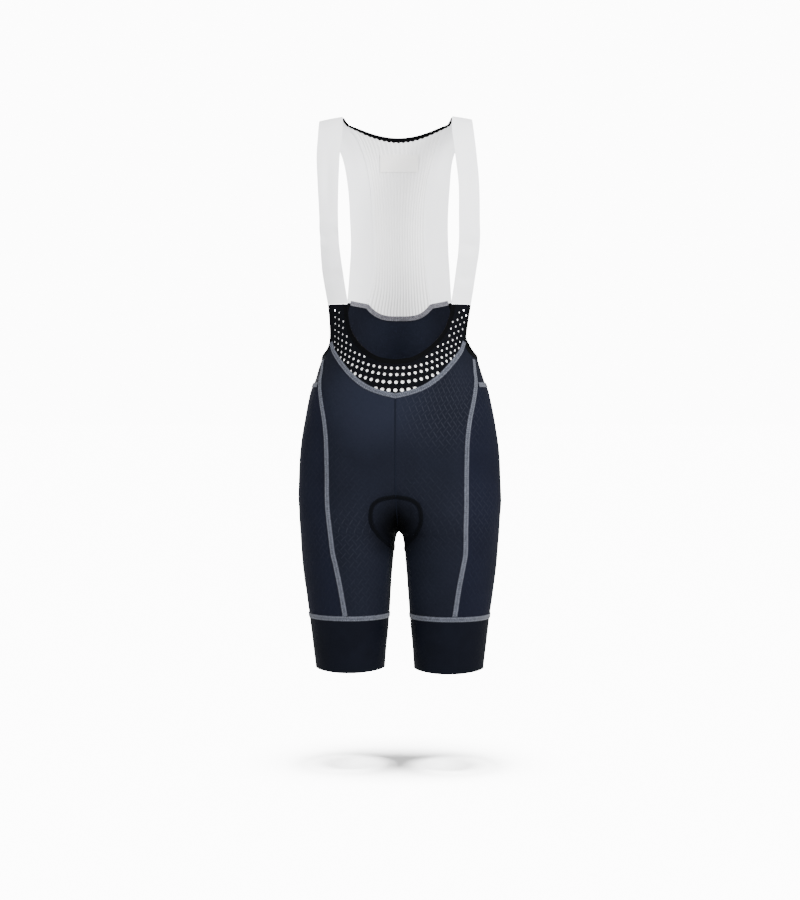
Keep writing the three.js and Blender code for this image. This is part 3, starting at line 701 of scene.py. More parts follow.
# The pieces of the legs and the waist
CURVED_ROWS = 51
LEVEL_ROWS = 100


def top_row(parts):
    """One row through several lines, with their cell counts, sharing their end points."""
    rows = [resampled_evenly(line, cells) for line, cells in parts]
    return np.concatenate([rows[0]] + [row[1:] for row in rows[1:]])


def level_row(first, last, down, cells):
    angles = np.linspace(float(first(down)), float(last(down)), cells + 1)
    return np.stack([angles, np.full(cells + 1, float(down))], axis=1)


def leg_panel(top, first, last):
    """Rows of a leg panel, from its curved top down to level rows."""
    down = top[:, 1]
    shares = (top[:, 0] - first(down)) / (last(down) - first(down))
    above = np.linspace(0, 1, CURVED_ROWS + 1)[:-1, None]
    levels = down[None] * (1 - above) + JOIN * above
    below = np.linspace(JOIN, CUFF_SEAM, LEVEL_ROWS)[:, None] + 0 * shares[None]
    levels = np.concatenate([levels, below])
    angles = first(levels) + (last(levels) - first(levels)) * shares[None]
    return np.stack([angles, levels], axis=-1)


front_top = top_row([(u_seam, 58), (armhole_seam[corner_mark:side_mark + 1], 14)])
side_top = level_row(side_front, side_back, YOKE_SEAM, 44)
back_row = level_row(side_back, back_middle, YOKE_SEAM, 70)


def panels(side):
    """The cells of a leg's three panels."""
    def seam_angle(down):
        return side_front(down, side)

    return (
        ("front", leg_panel(front_top, front_middle, seam_angle)),
        ("side", leg_panel(side_top, seam_angle, side_back)),
        ("back", leg_panel(back_row, side_back, back_middle)),
    )


def cuff_cells(side):
    front, outer, back = (cells[-1][:, 0] for _, cells in panels(side))
    angles = np.concatenate([front, outer[1:], back[1:-1]])
    angles, share = np.meshgrid(angles, np.linspace(0, 1, 34))
    dip = HEM_DIP * share * np.cos(np.radians(angles)) ** 2
    return np.stack([angles, CUFF_SEAM + (HEM - CUFF_SEAM) * share + dip], axis=-1)


def yoke_cells():
    top = yoke_top
    bottom = np.concatenate([side_top, back_row[1:]])
    bottom = resampled_evenly(bottom, len(top) - 1)
    rows = ruled(top, bottom, 56)
    rows[:, 0, 0] = side_front(rows[:, 0, 1])
    return np.stack([across_back(row) for row in rows])


def binding_cells(edge, seam, cells=240, across=4):
    return ruled(resampled(edge, cells), resampled(seam, cells), across)


# Materials
GLOSS = 0.03


class Finish:
    """The nodes of one cloth. across and down are millimetres in the unrolled cloth."""

    def __init__(self, name, roughness, sheen=0.0):
        self.material = bpy.data.materials.new(name)
        self.material.use_nodes = True
        self.tree = self.material.node_tree
        self.shader = self.tree.nodes["Principled BSDF"]
        for socket, value in (("Roughness", roughness), ("Specular IOR Level", GLOSS),
                              ("Sheen Weight", sheen), ("Sheen Roughness", 0.6)):
            self.shader.inputs[socket].default_value = value
        cloth = self.node("Attribute")
        cloth.attribute_name = "cloth"
        split = self.node("SeparateXYZ")
        self.feed(cloth.outputs["Vector"], split.inputs[0])
        self.across, self.down, self.extra = split.outputs
        self.place = self.node("TexCoord").outputs["Object"]
        self.height = None

    def node(self, kind):
        return self.tree.nodes.new(f"ShaderNode{kind}")

    def feed(self, value, socket):
        """Gives a socket a number, a color or another node's output."""
        if isinstance(value, (int, float)):
            socket.default_value = value
        elif isinstance(value, tuple):
            socket.default_value = (*value, 1)
        else:
            self.tree.links.new(value, socket)

    def math(self, operation, first, second=0.0, third=0.0):
        node = self.node("Math")
        node.operation = operation
        for socket, value in zip(node.inputs, (first, second, third)):
            self.feed(value, socket)
        return node.outputs[0]

    def wave(self, along, pitch, shift=0.0):
        turned = self.math("MULTIPLY_ADD", along, 2 * math.pi / pitch, shift)
        return self.math("SINE", turned)

    def noise(self, size, detail=2.0, roughness=0.5):
        """Noise from 0 to 1, with patches of this size in millimetres."""
        node = self.node("TexNoise")
        for socket, value in (("Scale", 1000 / size), ("Detail", detail), ("Roughness", roughness),
                              ("Vector", self.place)):
            self.feed(value, node.inputs[socket])
        return node.outputs["Fac"]

    def ramp(self, value, low, high, to_low=0.0, to_high=1.0):
        node = self.node("MapRange")
        node.interpolation_type = "SMOOTHSTEP"
        for socket, number in (("From Min", low), ("From Max", high), ("To Min", to_low),
                               ("To Max", to_high), ("Value", value)):
            self.feed(number, node.inputs[socket])
        return node.outputs["Result"]

    def blend(self, share, first, second):
        node = self.node("Mix")
        node.data_type = "RGBA"
        for socket, value in ((0, share), (6, first), (7, second)):
            self.feed(value, node.inputs[socket])
        return node.outputs[2]

    def distance(self, point):
        """Metres from a point."""
        node = self.node("VectorMath")
        node.operation = "DISTANCE"
        self.feed(self.place, node.inputs[0])
        node.inputs[1].default_value = point
        return node.outputs["Value"]

    def near(self, point, reach, full=0.0):
        """From 1 within the distance full of a point to 0 at reach."""
        return self.ramp(self.distance(point), full, reach, 1.0, 0.0)

    def half(self, wave):
        """A wave moved to run from 0 to 1."""
        return self.math("MULTIPLY_ADD", wave, 0.5, 0.5)

    def color(self, color):
        self.feed(color, self.shader.inputs["Base Color"])

    def bump(self, height, depth):
        """Raises the surface by height, from 0 to 1, times a depth in millimetres."""
        node = self.node("Bump")
        self.feed(depth * MM, node.inputs["Distance"])
        self.feed(height, node.inputs["Height"])
        if self.height is not None:
            self.feed(self.height, node.inputs["Normal"])
        self.height = node.outputs["Normal"]
        self.feed(self.height, self.shader.inputs["Normal"])


def scaled(color, factor):
    return tuple(channel * factor for channel in color)


def mottled(finish, color, size, low, high, detail=1.0):
    """A color between two shades of itself, in patches of this size."""
    return finish.blend(finish.noise(size, detail), scaled(color, low), scaled(color, high))


def checks(finish, pitch):
    """Soft squares in staggered rows, from -1 to 1."""
    return finish.math("MULTIPLY", finish.wave(finish.across, pitch), finish.wave(finish.down, pitch))


def knit(finish, wale, course, depth):
    """Columns of small stitches."""
    lean = finish.math("MULTIPLY_ADD", finish.wave(finish.down, course), 0.2 * wale, finish.across)
    stitches = finish.math("MULTIPLY", finish.wave(lean, wale), finish.wave(finish.down, course, 1.3))
    finish.bump(finish.half(stitches), depth)


def dashes(finish, pitch):
    """Short lines both ways in a plain diagonal grid, each one broken where another crosses it."""
    slope = finish.math("MULTIPLY", finish.down, 0.85)
    one = finish.math("ADD", finish.across, slope)
    other = finish.math("SUBTRACT", finish.across, slope)
    found = 0.0
    ways = ((one, other, math.pi / 2, 0.7), (other, one, -math.pi / 2, 1.0))
    for along, over, turn, strength in ways:
        off = finish.math("ABSOLUTE", finish.wave(along, 2 * pitch))
        line = finish.ramp(off, 0.0, 0.25, strength, 0.0)
        row = finish.wave(along, 2 * pitch, math.pi / 2)
        cut = finish.ramp(finish.math("MULTIPLY", finish.wave(over, 2 * pitch, turn), row), -0.6, -0.3)
        dash = finish.math("MULTIPLY", line, cut)
        found = finish.math("MAXIMUM", found, dash)
    return found


# Places in metres: a pool of painted light on the belly, painted shade in the crotch, the middle of the
# yoke's inner face, which gets painted shade towards its sides, and the foot of the ribs, where the painted
# shade in their grooves is darkest
BELLY_LIGHT_POOL = (-0.045, -0.09, -0.47)
CROTCH_SHADE_PLACE = (-0.004, -0.04, -0.676)
YOKE_UNSHADED_MIDDLE = (0, 0.10, -0.365)
RIB_SHADE_FOOT = (0, 0.085, -0.345)
DASH_PITCH = 12.5
DASH_COLOR = (0.030, 0.033, 0.043)
# Where the grid shows most: place, reach and strength
GRID_PLACES = (
    ((0.075, -0.085, -0.485), 0.105, 0.62),
    ((-0.085, -0.08, -0.70), 0.095, 0.3),
    ((-0.06, -0.09, -0.79), 0.07, 0.24),
    ((0.125, -0.07, -0.66), 0.09, 0.27),
    ((0.10, 0.09, -0.56), 0.11, 0.3),
    ((-0.09, 0.09, -0.74), 0.11, 0.27),
)


def grid_strength(finish):
    """The grid shows in faint patches, and more near the listed places."""
    found = finish.ramp(finish.noise(110, 0.0), 0.42, 0.62, 0.03, 0.13)
    for place, reach, strength in GRID_PLACES:
        here = finish.ramp(finish.distance(place), 0.2 * reach, reach, strength, 0.0)
        found = finish.math("MAXIMUM", found, here)
    return found


def navy(name, color):
    """Stretch cloth with its faint grid, a pool of painted light on the belly and painted shade in the
    crotch. An inner face is plain and painted paler as painted light, with painted shade towards its sides.
    """
    finish = Finish(name, 0.75)
    heather = mottled(finish, color, 1.6, 0.72, 1.3)
    patches = finish.ramp(finish.noise(90, 2.0), 0.3, 0.7)
    dark = mottled(finish, color, 1.6, 0.62, 1.05)
    cloth = finish.blend(patches, dark, heather)
    lines = dashes(finish, DASH_PITCH)
    # Paler near the belly: a painted pool of light.
    cloth = finish.blend(finish.near(BELLY_LIGHT_POOL, 0.115, 0.03), cloth, scaled(color, 1.55))
    lined = finish.blend(finish.math("MULTIPLY", lines, grid_strength(finish)), cloth, DASH_COLOR)
    # Darker near the crotch: painted shade.
    painted_crotch_shade = finish.ramp(finish.distance(CROTCH_SHADE_PLACE), 0.012, 0.08)
    face = finish.blend(painted_crotch_shade, scaled(color, 0.08), lined)
    # The inner face is plain, without the grid, and painted paler: painted light.
    plain = mottled(finish, color, 1.6, 1.15, 1.95)
    # Darker towards the sides of the inner face: painted shade.
    painted_side_shade = finish.ramp(finish.distance(YOKE_UNSHADED_MIDDLE), 0.03, 0.09)
    plain = finish.blend(painted_side_shade, plain, scaled(color, 0.7))
    finish.color(finish.blend(finish.extra, face, plain))
    finish.bump(finish.noise(14, 2.0), 0.35)
    finish.bump(lines, -0.12)
    knit(finish, 0.9, 0.8, 0.12)
    return finish.material


def white(name, color, pitch):
    """Fine open mesh: small dimples in staggered rows, with painted shade in them."""
    finish = Finish(name, 0.85, 0.15)
    dimples = finish.ramp(checks(finish, pitch), 0.25, 0.95)
    patches = mottled(finish, color, 60, 0.93, 1.0, 3.0)
    # The dimples are painted darker: painted shade.
    finish.color(finish.blend(finish.math("MULTIPLY", dimples, 0.22), patches, scaled(color, 0.55)))
    finish.bump(finish.noise(22, 2.0), 0.6)
    finish.bump(dimples, -0.2)
    return finish.material


def ribbed(name, color):
    """Knitted ribs, with painted shade in the grooves, darkest near the foot. The extra coordinate is 1 on
    a crest and 0 in a groove.
    """
    finish = Finish(name, 0.85, 0.15)
    depth = finish.ramp(finish.extra, 0.0, 0.6)
    patches = mottled(finish, color, 50, 0.95, 1.0, 3.0)
    # Painted shade in the grooves, darkest near the foot of the back.
    groove = finish.blend(finish.near(RIB_SHADE_FOOT, 0.14, 0.03), scaled(color, 0.9), scaled(color, 0.6))
    finish.color(finish.blend(depth, groove, patches))
    finish.bump(finish.noise(16, 3.0), 0.5)
    knit(finish, 1.1, 1.0, 0.16)
    return finish.material


def elastic(name, color):
    """Binding with fine cross ribs."""
    finish = Finish(name, 0.75)
    finish.color(mottled(finish, color, 2.0, 0.6, 1.5, 2.0))
    finish.bump(finish.half(finish.wave(finish.across, 1.1)), 0.14)
    finish.bump(finish.noise(5, 2.0), 0.15)
    return finish.material


def open_net(name, color):
    """The black front between its holes: a smooth close knit."""
    finish = Finish(name, 0.75)
    finish.color(mottled(finish, color, 1.4, 0.7, 1.5))
    finish.bump(finish.noise(18, 2.0), 0.3)
    knit(finish, 0.8, 0.7, 0.1)
    return finish.material


def band(name, color):
    """The leg band: smooth and close, with fine upright ribs."""
    finish = Finish(name, 0.7)
    patches = mottled(finish, color, 70, 0.75, 1.25, 2.0)
    fine = mottled(finish, color, 1.2, 0.6, 1.15)
    finish.color(finish.blend(finish.ramp(finish.noise(30, 1.0), 0.35, 0.65), patches, fine))
    finish.bump(finish.half(finish.wave(finish.across, 1.3)), 0.1)
    finish.bump(finish.noise(16, 2.0), 0.3)
    return finish.material


def cover_seam(name, color):
    """Grey flat seam: threads crossing in a mottled zigzag."""
    finish = Finish(name, 0.8, 0.1)
    swing = finish.math("MULTIPLY", finish.wave(finish.across, 3.4), 1.9)
    turned = finish.math("MULTIPLY_ADD", finish.down, 2 * math.pi / 1.7, swing)
    threads = finish.half(finish.math("SINE", turned))
    shade = finish.math("MULTIPLY", threads, finish.ramp(finish.noise(3.2, 2.0, 0.7), 0.25, 0.75))
    finish.color(finish.blend(shade, scaled(color, 0.5), scaled(color, 1.75)))
    finish.bump(threads, 0.3)
    return finish.material


def woven(name, color, thread=0.7):
    """Plain weave, for the label and the threads."""
    finish = Finish(name, 0.8)
    share = finish.half(checks(finish, thread))
    finish.color(finish.blend(share, scaled(color, 0.92), color))
    finish.bump(share, 0.08)
    return finish.material


def brushed(name, color):
    """The face of the pad: soft, with small dimples that are painted darker as painted shade."""
    finish = Finish(name, 0.85, 0.15)
    dimples = finish.ramp(checks(finish, 5.0), 0.4, 0.95)
    fibres = finish.blend(finish.noise(1.5, 3.0, 0.7), scaled(color, 0.6), scaled(color, 1.5))
    # The dimples are painted darker: painted shade.
    finish.color(finish.blend(finish.math("MULTIPLY", dimples, 0.5), fibres, scaled(color, 0.4)))
    finish.bump(dimples, -0.5)
    finish.bump(finish.noise(2.5, 2.0), 0.2)
    return finish.material


NAVY = navy("navy_stretch", (0.0047, 0.0056, 0.0098))
SIDE_NAVY = navy("navy_side", (0.0042, 0.0050, 0.0102))
BLACK_MESH = open_net("black_mesh", (0.0009, 0.0011, 0.0019))
BLACK_ELASTIC = elastic("black_elastic", (0.0006, 0.0007, 0.0010))
GRIP = band("grip_band", (0.0021, 0.0026, 0.0050))
GREY = cover_seam("grey_seam", (0.044, 0.048, 0.063))
PALE_GREY = cover_seam("pale_grey_seam", (0.108, 0.106, 0.122))
WHITE_MESH = white("white_mesh", (0.87, 0.875, 0.895), 1.7)
# The lining is white cloth, painted paler than the strap mesh: painted light where it sits shaded behind
# the holes.
LIT_WHITE_LINING = white("lit_white_lining", (0.94, 0.94, 0.945), 1.7)
WHITE_RIB = ribbed("white_rib", (0.92, 0.92, 0.925))
LABEL = woven("label", (0.90, 0.89, 0.87))
PAD = brushed("pad", (0.012, 0.014, 0.021))
PAD_OUTLINE = elastic("pad_outline", (0.0009, 0.0011, 0.0018))
DARK_THREAD = woven("dark_thread", (0.004, 0.005, 0.009))
PALE_THREAD = woven("pale_thread", (0.16, 0.17, 0.205))
WHITE_THREAD = woven("white_thread", (0.88, 0.885, 0.90))


# The legs, the yoke and the bindings
def place(made, *nodes, slot):
    """Rides a piece on the root. Nodes are the solids that it stands for. The slot is not used."""
    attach(made, "root")
    if nodes:
        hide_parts(*nodes)
    return made


def leg_pieces(name, side):
    surface = Half(side)
    for panel, cells in panels(side):
        finish = SIDE_NAVY if panel == "side" else NAVY
        made = cloth_wall(f"{panel}_panel_{name}", surface, cells, finish)
        place(made, f"{panel}_{name}", slot="navy_stretch")
    made = cloth_wall(f"leg_band_{name}", surface, cuff_cells(side), GRIP, 1.7, 0.2, True)
    place(made, f"cuff_{name}", slot="grip_band")
    made = cloth_wall(f"armhole_band_{name}", surface, binding_cells(armhole_edge, armhole_seam),
                      BLACK_ELASTIC, BINDING, BINDING_PROUD)
    place(made, f"armhole_binding_{name}", slot="black_elastic")


for side_name, side_sign in SIDES:
    leg_pieces(side_name, side_sign)
# inside=1.0 marks the inner face, which the navy finish paints paler as painted light, with painted shade
# towards its sides.
place(cloth_wall("yoke_back", TORSO, yoke_cells(), NAVY, inside=1.0), "back_yoke",
      slot="navy_stretch")
waist_rows = [across_front(row) for row in binding_cells(waist_edge, waist_seam)]
place(cloth_wall("waist_edge_band", TORSO, np.stack(waist_rows), BLACK_ELASTIC, BINDING,
                 BINDING_PROUD), "waist_band", slot="black_elastic")


# The perforated front
HOLE_SIDES = 20
HOLE_COLUMNS = 16
NET_CELL = 2.6
NET_EDGE = 1.0
NET_HOLE = 0.8


def inside(points, outline):
    """Whether points lie inside a closed outline."""
    x, y = points[:, 0, None], points[:, 1, None]
    a, b = outline, np.roll(outline, -1, axis=0)
    crosses = (a[:, 1] > y) != (b[:, 1] > y)
    with np.errstate(divide="ignore", invalid="ignore"):
        reached = x < a[:, 0] + (b[:, 0] - a[:, 0]) * (y - a[:, 1]) / (b[:, 1] - a[:, 1])
    return (crosses & reached).sum(axis=1) % 2 == 1


def edge_distance(points, outline):
    a, b = outline, np.roll(outline, -1, axis=0)
    way = b - a
    share = ((points[:, None] - a) * way).sum(axis=-1) / (way ** 2).sum(axis=-1)
    nearest = a + np.clip(share, 0, 1)[..., None] * way
    return np.linalg.norm(points[:, None] - nearest, axis=-1).min(axis=1)


crescent_inner = across_front(resampled_evenly(waist_seam, 90))
outer_half = top_row([(u_seam, 60), (armhole_seam[corner_mark::-1], 30)])
crescent_outer = across_front(outer_half)
crescent_outline = np.concatenate([crescent_inner, crescent_outer[::-1]]) * STRETCH


def perforations():
    """Angle, down and size of each hole."""
    found = []
    rows = len(DOT_ROWS["down"])
    for row in range(rows):
        level, size = DOT_ROWS["down"][row], DOT_ROWS["size"][row]
        for column in range(-HOLE_COLUMNS, HOLE_COLUMNS + 1):
            angle = column * DOTS["turn"] + DOTS["lean"] * (rows - 1 - row)
            across = float(half_width(level)) * math.sin(math.radians(angle))
            down = level - DOTS["arch"] * across ** 2
            here = size * (1 - DOTS["fade"] * (across / DOTS["reach"]) ** 2)
            place_flat = np.array([[angle, down]]) * STRETCH
            room = edge_distance(place_flat, crescent_outline)[0] - here / 2
            within = inside(place_flat, crescent_outline)[0] and down > DOTS["top"]
            if within and room > DOTS["margin"]:
                found.append((angle, down, here))
    return np.array(found)


def crescent_cut(points, faces):
    """Flat width, length and area of the perforated front, in metres."""
    sheet = laid(TORSO, ruled(crescent_inner, crescent_outer, 40))[0]
    width, length = measured(sheet, False)[:2]
    a, b, c = (points[faces[:, i]] for i in range(3))
    area = np.linalg.norm(np.cross(b - a, c - a), axis=-1).sum() / 2
    return width, length, area * MM * MM


def perforated_wall(name, holes, finish):
    """The front with its holes cut through, triangulated in the flat cloth."""
    turns = np.linspace(0, 2 * math.pi, HOLE_SIDES, endpoint=False)
    rings = [np.array((a, d)) * STRETCH + s / 2 * np.stack([np.cos(turns), np.sin(turns)], axis=1)
             for a, d, s in holes]
    low, high = crescent_outline.min(axis=0), crescent_outline.max(axis=0)
    columns, rows = (np.arange(low[axis], high[axis], NET_CELL) for axis in (0, 1))
    grid = np.stack(np.meshgrid(columns, rows), -1).reshape(-1, 2)
    grid = grid[inside(grid, crescent_outline)]
    grid = grid[edge_distance(grid, crescent_outline) > NET_EDGE]
    centres = holes[:, :2] * STRETCH
    gap = np.linalg.norm(grid[:, None] - centres, axis=-1) - holes[:, 2] / 2
    grid = grid[gap.min(axis=1) > NET_HOLE]
    loops = [crescent_outline, *rings]
    starts = np.cumsum([0] + [len(loop) for loop in loops])
    edges = [(start + i, start + (i + 1) % len(loop))
             for start, loop in zip(starts, loops) for i in range(len(loop))]
    flat = np.concatenate([*loops, grid])
    found = delaunay_2d_cdt([Vector(p) for p in flat], edges, [], 0, 1e-4)
    flat = np.array(found[0])
    faces = np.array([face for face in found[2] if len(face) == 3])
    middles = flat[faces].mean(axis=1)
    kept = inside(middles, crescent_outline)
    kept &= (np.linalg.norm(middles[:, None] - centres, axis=-1) > holes[:, 2] / 2 * 0.99).all(axis=1)
    faces = faces[kept]
    cells = flat / STRETCH
    points, normal = laid(TORSO, cells)
    outer = points + normal * creases(points)[:, None]
    inner = outer - normal * NET_THICK
    count = len(flat)
    sides_of = np.concatenate([faces[:, [0, 1]], faces[:, [1, 2]], faces[:, [2, 0]]])
    pairs = {tuple(pair) for pair in sides_of.tolist()}
    rims = [(b, a, a + count, b + count) for a, b in pairs if (b, a) not in pairs]
    everything = faces.tolist() + (faces[:, ::-1] + count).tolist() + rims
    both = np.concatenate([outer, inner])
    crescent_cut(outer, faces)
    return mesh_piece(name, both, everything, finish, np.concatenate([flat, flat]))


HOLES = perforations()
place(perforated_wall("waist_mesh", HOLES, BLACK_MESH), "waist_front", slot="black_mesh")
lining_rows = ruled(crescent_inner, crescent_outer, 40)[2:-2, 6:-6]
place(cloth_wall("waist_lining_cloth", TORSO, lining_rows, LIT_WHITE_LINING, 1.0, -NET_THICK - 0.45),
      "waist_lining", slot="white_mesh")


# The straps and the ribbed back
def shoulder_edge(name, station):
    return read(SHOULDER, "station", name, station)


BACK_LEVELS = np.linspace(15, 17, 401)
BACK_DOWN = -shoulder_edge("z", BACK_LEVELS)


def strap_cells(name, across=16):
    stations = np.linspace(0, LAST_STATION, 420)[:, None]
    share = np.linspace(0, 1, across + 1)[None]
    inner, outer = (shoulder_edge(f"{name}_{edge}", stations) for edge in ("inner", "outer"))
    x = inner * (1 - share) + outer * share
    base = strap_base_at(back_edge + (back_outer - back_edge) * share)
    bottom = np.interp(base, BACK_DOWN, BACK_LEVELS)
    first = NECK_SIDE + NECK_BINDING_STATIONS
    behind = np.maximum(stations - first, 0) / (LAST_STATION - first)
    return np.stack([stations + (bottom - LAST_STATION) * behind, x], axis=-1)


for side_name, side_sign in SIDES:
    made = cloth_wall(f"shoulder_strap_{side_name}", SHOULDERS, strap_cells(side_name), WHITE_MESH)
    place(made, f"strap_{side_name}", slot="white_mesh")


def neck_dip(share):
    return NECK_DIP * (1 - share * share)


def scallop(share):
    """The lower edge of the neck binding swings at each rib, by part of a station."""
    return 0.022 * np.cos(math.pi * RIB_COUNT * (share + 1))


def rib_cells(columns, rows):
    """The back from the neck binding down to the dipped seam. Columns keep their share of the width."""
    across = np.linspace(0, 1, columns + 1)[None]
    share = 2 * across - 1
    first = NECK_SIDE + NECK_BINDING_STATIONS
    stations = np.linspace(first, LAST_STATION, rows + 1)[:, None]
    top = first + neck_dip(share) + scallop(share)
    bottom = np.interp(dip_at(np.abs(share)), BACK_DOWN, BACK_LEVELS)
    level = top + (bottom - top) * (stations - first) / (LAST_STATION - first)
    left, right = shoulder_edge("left_inner", stations), shoulder_edge("right_inner", stations)
    return np.stack([level, left + (right - left) * across], axis=-1)


def rib_rise(columns):
    phase = np.linspace(0, RIB_COUNT, columns + 1)
    return RIB_HEIGHT * (1 - np.abs(np.cos(math.pi * phase)) ** 1.5)


RIB_COLUMNS = 12 * RIB_COUNT
made = cloth_wall("ribbed_back", SHOULDERS, rib_cells(RIB_COLUMNS, 150), WHITE_RIB,
                  rise=rib_rise(RIB_COLUMNS))
place(made, "back_rib", slot="white_rib")


def neck_binding_cells(columns=240, across=8):
    steps = np.linspace(0, NECK_BINDING_STATIONS, across + 1)[:, None]
    share = np.linspace(-1, 1, columns + 1)[None]
    station = NECK_SIDE + steps + scallop(share) * steps / NECK_BINDING_STATIONS
    left, right = shoulder_edge("left_inner", station), shoulder_edge("right_inner", station)
    return np.stack([station + neck_dip(share), left + (right - left) * (share + 1) / 2], axis=-1)


NECK_ENDS = []
place(cloth_wall("neck_edge_band", SHOULDERS, neck_binding_cells(), BLACK_ELASTIC,
                 BINDING + 2 * BINDING_PROUD, 2 * BINDING_PROUD), "neck_binding", slot="black_elastic")
for side_name, side_sign in SIDES:
    stations = np.linspace(8.35, NECK_SIDE + 0.1, 40)
    edge = np.stack([stations, shoulder_edge(f"{side_name}_inner", stations)], axis=1)
    NECK_ENDS.append((f"neck_edge_end_{side_name}", edge))
LABEL_STATIONS = (10.8, 11.45)
LABEL_ENDS = (-33.5, 33)
LABEL_GAP = 0.45
label_rows = np.stack(np.meshgrid(np.linspace(*LABEL_STATIONS, 24), np.linspace(*LABEL_ENDS, 80),
                                  indexing="ij"), axis=-1)
place(cloth_wall("blank_label", SHOULDERS, label_rows, LABEL, 0.6, -CLOTH - RIB_HEIGHT - LABEL_GAP),
      "neck_label", slot="label")


# Flat seams
SEAM_WIDTH = 8.2
SEAM_LIFT = 0.5
SEAM_THICK = 0.8
RIB_GAP = 0.4
# Where the side seams begin below the line above them, and where all end above the cuff
UNDER_SIDE_TOP = 2.5
UNDER_YOKE = 4.5
SEAM_END = CUFF_SEAM - 4.5


def ways_along(points, closed):
    if closed:
        return np.roll(points, -1, axis=0) - np.roll(points, 1, axis=0)
    return np.gradient(points, axis=0)


def tape_wall(name, surface, line, finish, width=SEAM_WIDTH, lift=SEAM_LIFT, thick=SEAM_THICK,
              closed=False, across=10):
    """A domed tape along a line of surface places."""
    points, normal = laid(surface, line)
    along = ways_along(points, closed)
    side = np.cross(along, normal)
    side /= np.linalg.norm(side, axis=-1, keepdims=True)
    share = np.linspace(-1, 1, across + 1)
    dome = thick * (0.35 + 0.65 * (1 - np.abs(share) ** 4))
    level = lift + creases(points)
    base = points + normal * level[:, None]
    way = (share * width / 2)[:, None, None]
    under = base + side * way
    upper = under + normal * dome[:, None, None]
    lengths = np.linalg.norm(along, axis=-1) / 2
    flat = np.stack(np.broadcast_arrays(share[:, None] * width / 2, np.cumsum(lengths)), axis=-1)
    if not closed:
        upper, under, flat = (a.transpose(1, 0, 2) for a in (upper, under, flat))
    rows, columns = upper.shape[:2]
    both = np.concatenate([upper.reshape(-1, 3), under.reshape(-1, 3)])
    made = mesh_piece(name, both, wall_faces(rows, columns, closed), finish,
                      np.concatenate([flat.reshape(-1, 2)] * 2))
    return made


def seam(name, node, surface, line, finish=GREY, **shape):
    place(tape_wall(name, surface, line, finish, **shape), node, slot="grey_seam")


half_yoke = resampled_evenly(np.concatenate([side_top, back_row[1:]]), 180)
yoke_line = across_back(half_yoke[half_yoke[:, 0] > half_yoke[0, 0] + 3.4])
u_line = across_front(resampled_evenly(u_seam, 120))
top_line = across_back(resampled_evenly(back_top, 80))
seam("cover_seam_u", "seam_u", TORSO, u_line)
seam("cover_seam_yoke", "seam_yoke", TORSO, yoke_line)
seam("cover_seam_back_top", "seam_back_top", TORSO, top_line, lift=RIB_HEIGHT + RIB_GAP)
seam("cover_seam_back_top_inner", "seam_back_top_inner", TORSO, top_line, PALE_GREY,
     lift=-CLOTH - RIB_HEIGHT - RIB_GAP - SEAM_THICK)


def side_line(edge, first, last, *side):
    down = np.linspace(first, last, 240)
    return np.stack([edge(down, *side), down], axis=1)


def leg_lines(sign):
    """The lines of a leg's front, back and cuff seam."""
    return (side_line(side_front, SIDE_SEAM_TOP + UNDER_SIDE_TOP, SEAM_END, sign),
            side_line(side_back, YOKE_SEAM + UNDER_YOKE, SEAM_END),
            cuff_cells(sign)[0])


LEG_SEAMS = ("side_front", "side_back", "cuff")
for side_name, side_sign in SIDES:
    for kind, line in zip(LEG_SEAMS, leg_lines(side_sign)):
        seam(f"cover_seam_{kind}_{side_name}", f"seam_{kind}_{side_name}", Half(side_sign), line,
             closed=kind == "cuff")


# The seat pad and its sewn outline
PAD_CELLS = 120
PAD_REACH = 26
PAD_DEEP = 2.3
PAD_EDGE = 1.2
PAD_SWELL = 5.6
GROOVE = {"at": 0.45, "width": 0.035, "depth": 0.28}
MIDDLE_FRONT = 60
MIDDLE_BACK = 70


def pad_middle():
    """The middle seam under the pad, from its front over the crotch to its back."""
    levels = np.concatenate([np.linspace(PAD_FRONT["down"], CROTCH, MIDDLE_FRONT),
                             np.linspace(CROTCH - 3, PAD_BACK["down"], MIDDLE_BACK)])
    in_front = np.arange(len(levels)) < MIDDLE_FRONT
    angles = np.where(in_front, front_middle(levels), back_middle(levels) - 360)
    return resampled_evenly(np.stack([angles, levels], axis=1), PAD_CELLS)


def pad_rows():
    """The pad's outer points, their normals and its thickness."""
    middle = pad_middle()
    edge = resampled_evenly(spaced(rows_of(PAD_SIDE, "angle", "down"), 200), PAD_CELLS)
    share = np.abs(np.linspace(-1, 1, 2 * PAD_REACH + 1))
    cells = middle[:, None] * (1 - share[None, :, None]) + edge[:, None] * share[None, :, None]
    sides = [laid(Half(sign), cells) for sign in (-1, 1)]
    points, normal = (np.concatenate([a[:, :PAD_REACH], b[:, PAD_REACH:]], axis=1)
                      for a, b in zip(*sides))
    own = normal[:, PAD_REACH].copy()
    normal[:, PAD_REACH] += sides[0][1][:, PAD_REACH]
    normal[:, PAD_REACH] /= np.linalg.norm(normal[:, PAD_REACH], axis=-1, keepdims=True)
    stretch = np.ones(normal.shape[:2])
    stretch[:, PAD_REACH] = np.minimum(1 / (own * normal[:, PAD_REACH]).sum(axis=-1), 2.5)
    points = points - normal * ((CLOTH + PAD_DEEP) * stretch)[..., None]
    along = np.linspace(0, 1, PAD_CELLS + 1)[:, None]
    swell = np.sin(math.pi * along)
    thick = PAD_EDGE + PAD_SWELL * (1 - share[None] ** 3) * swell
    groove = np.exp(-((share[None] - GROOVE["at"]) / GROOVE["width"]) ** 2) * smooth((swell - 0.3) / 0.3)
    return points, normal, thick - GROOVE["depth"] * thick * groove


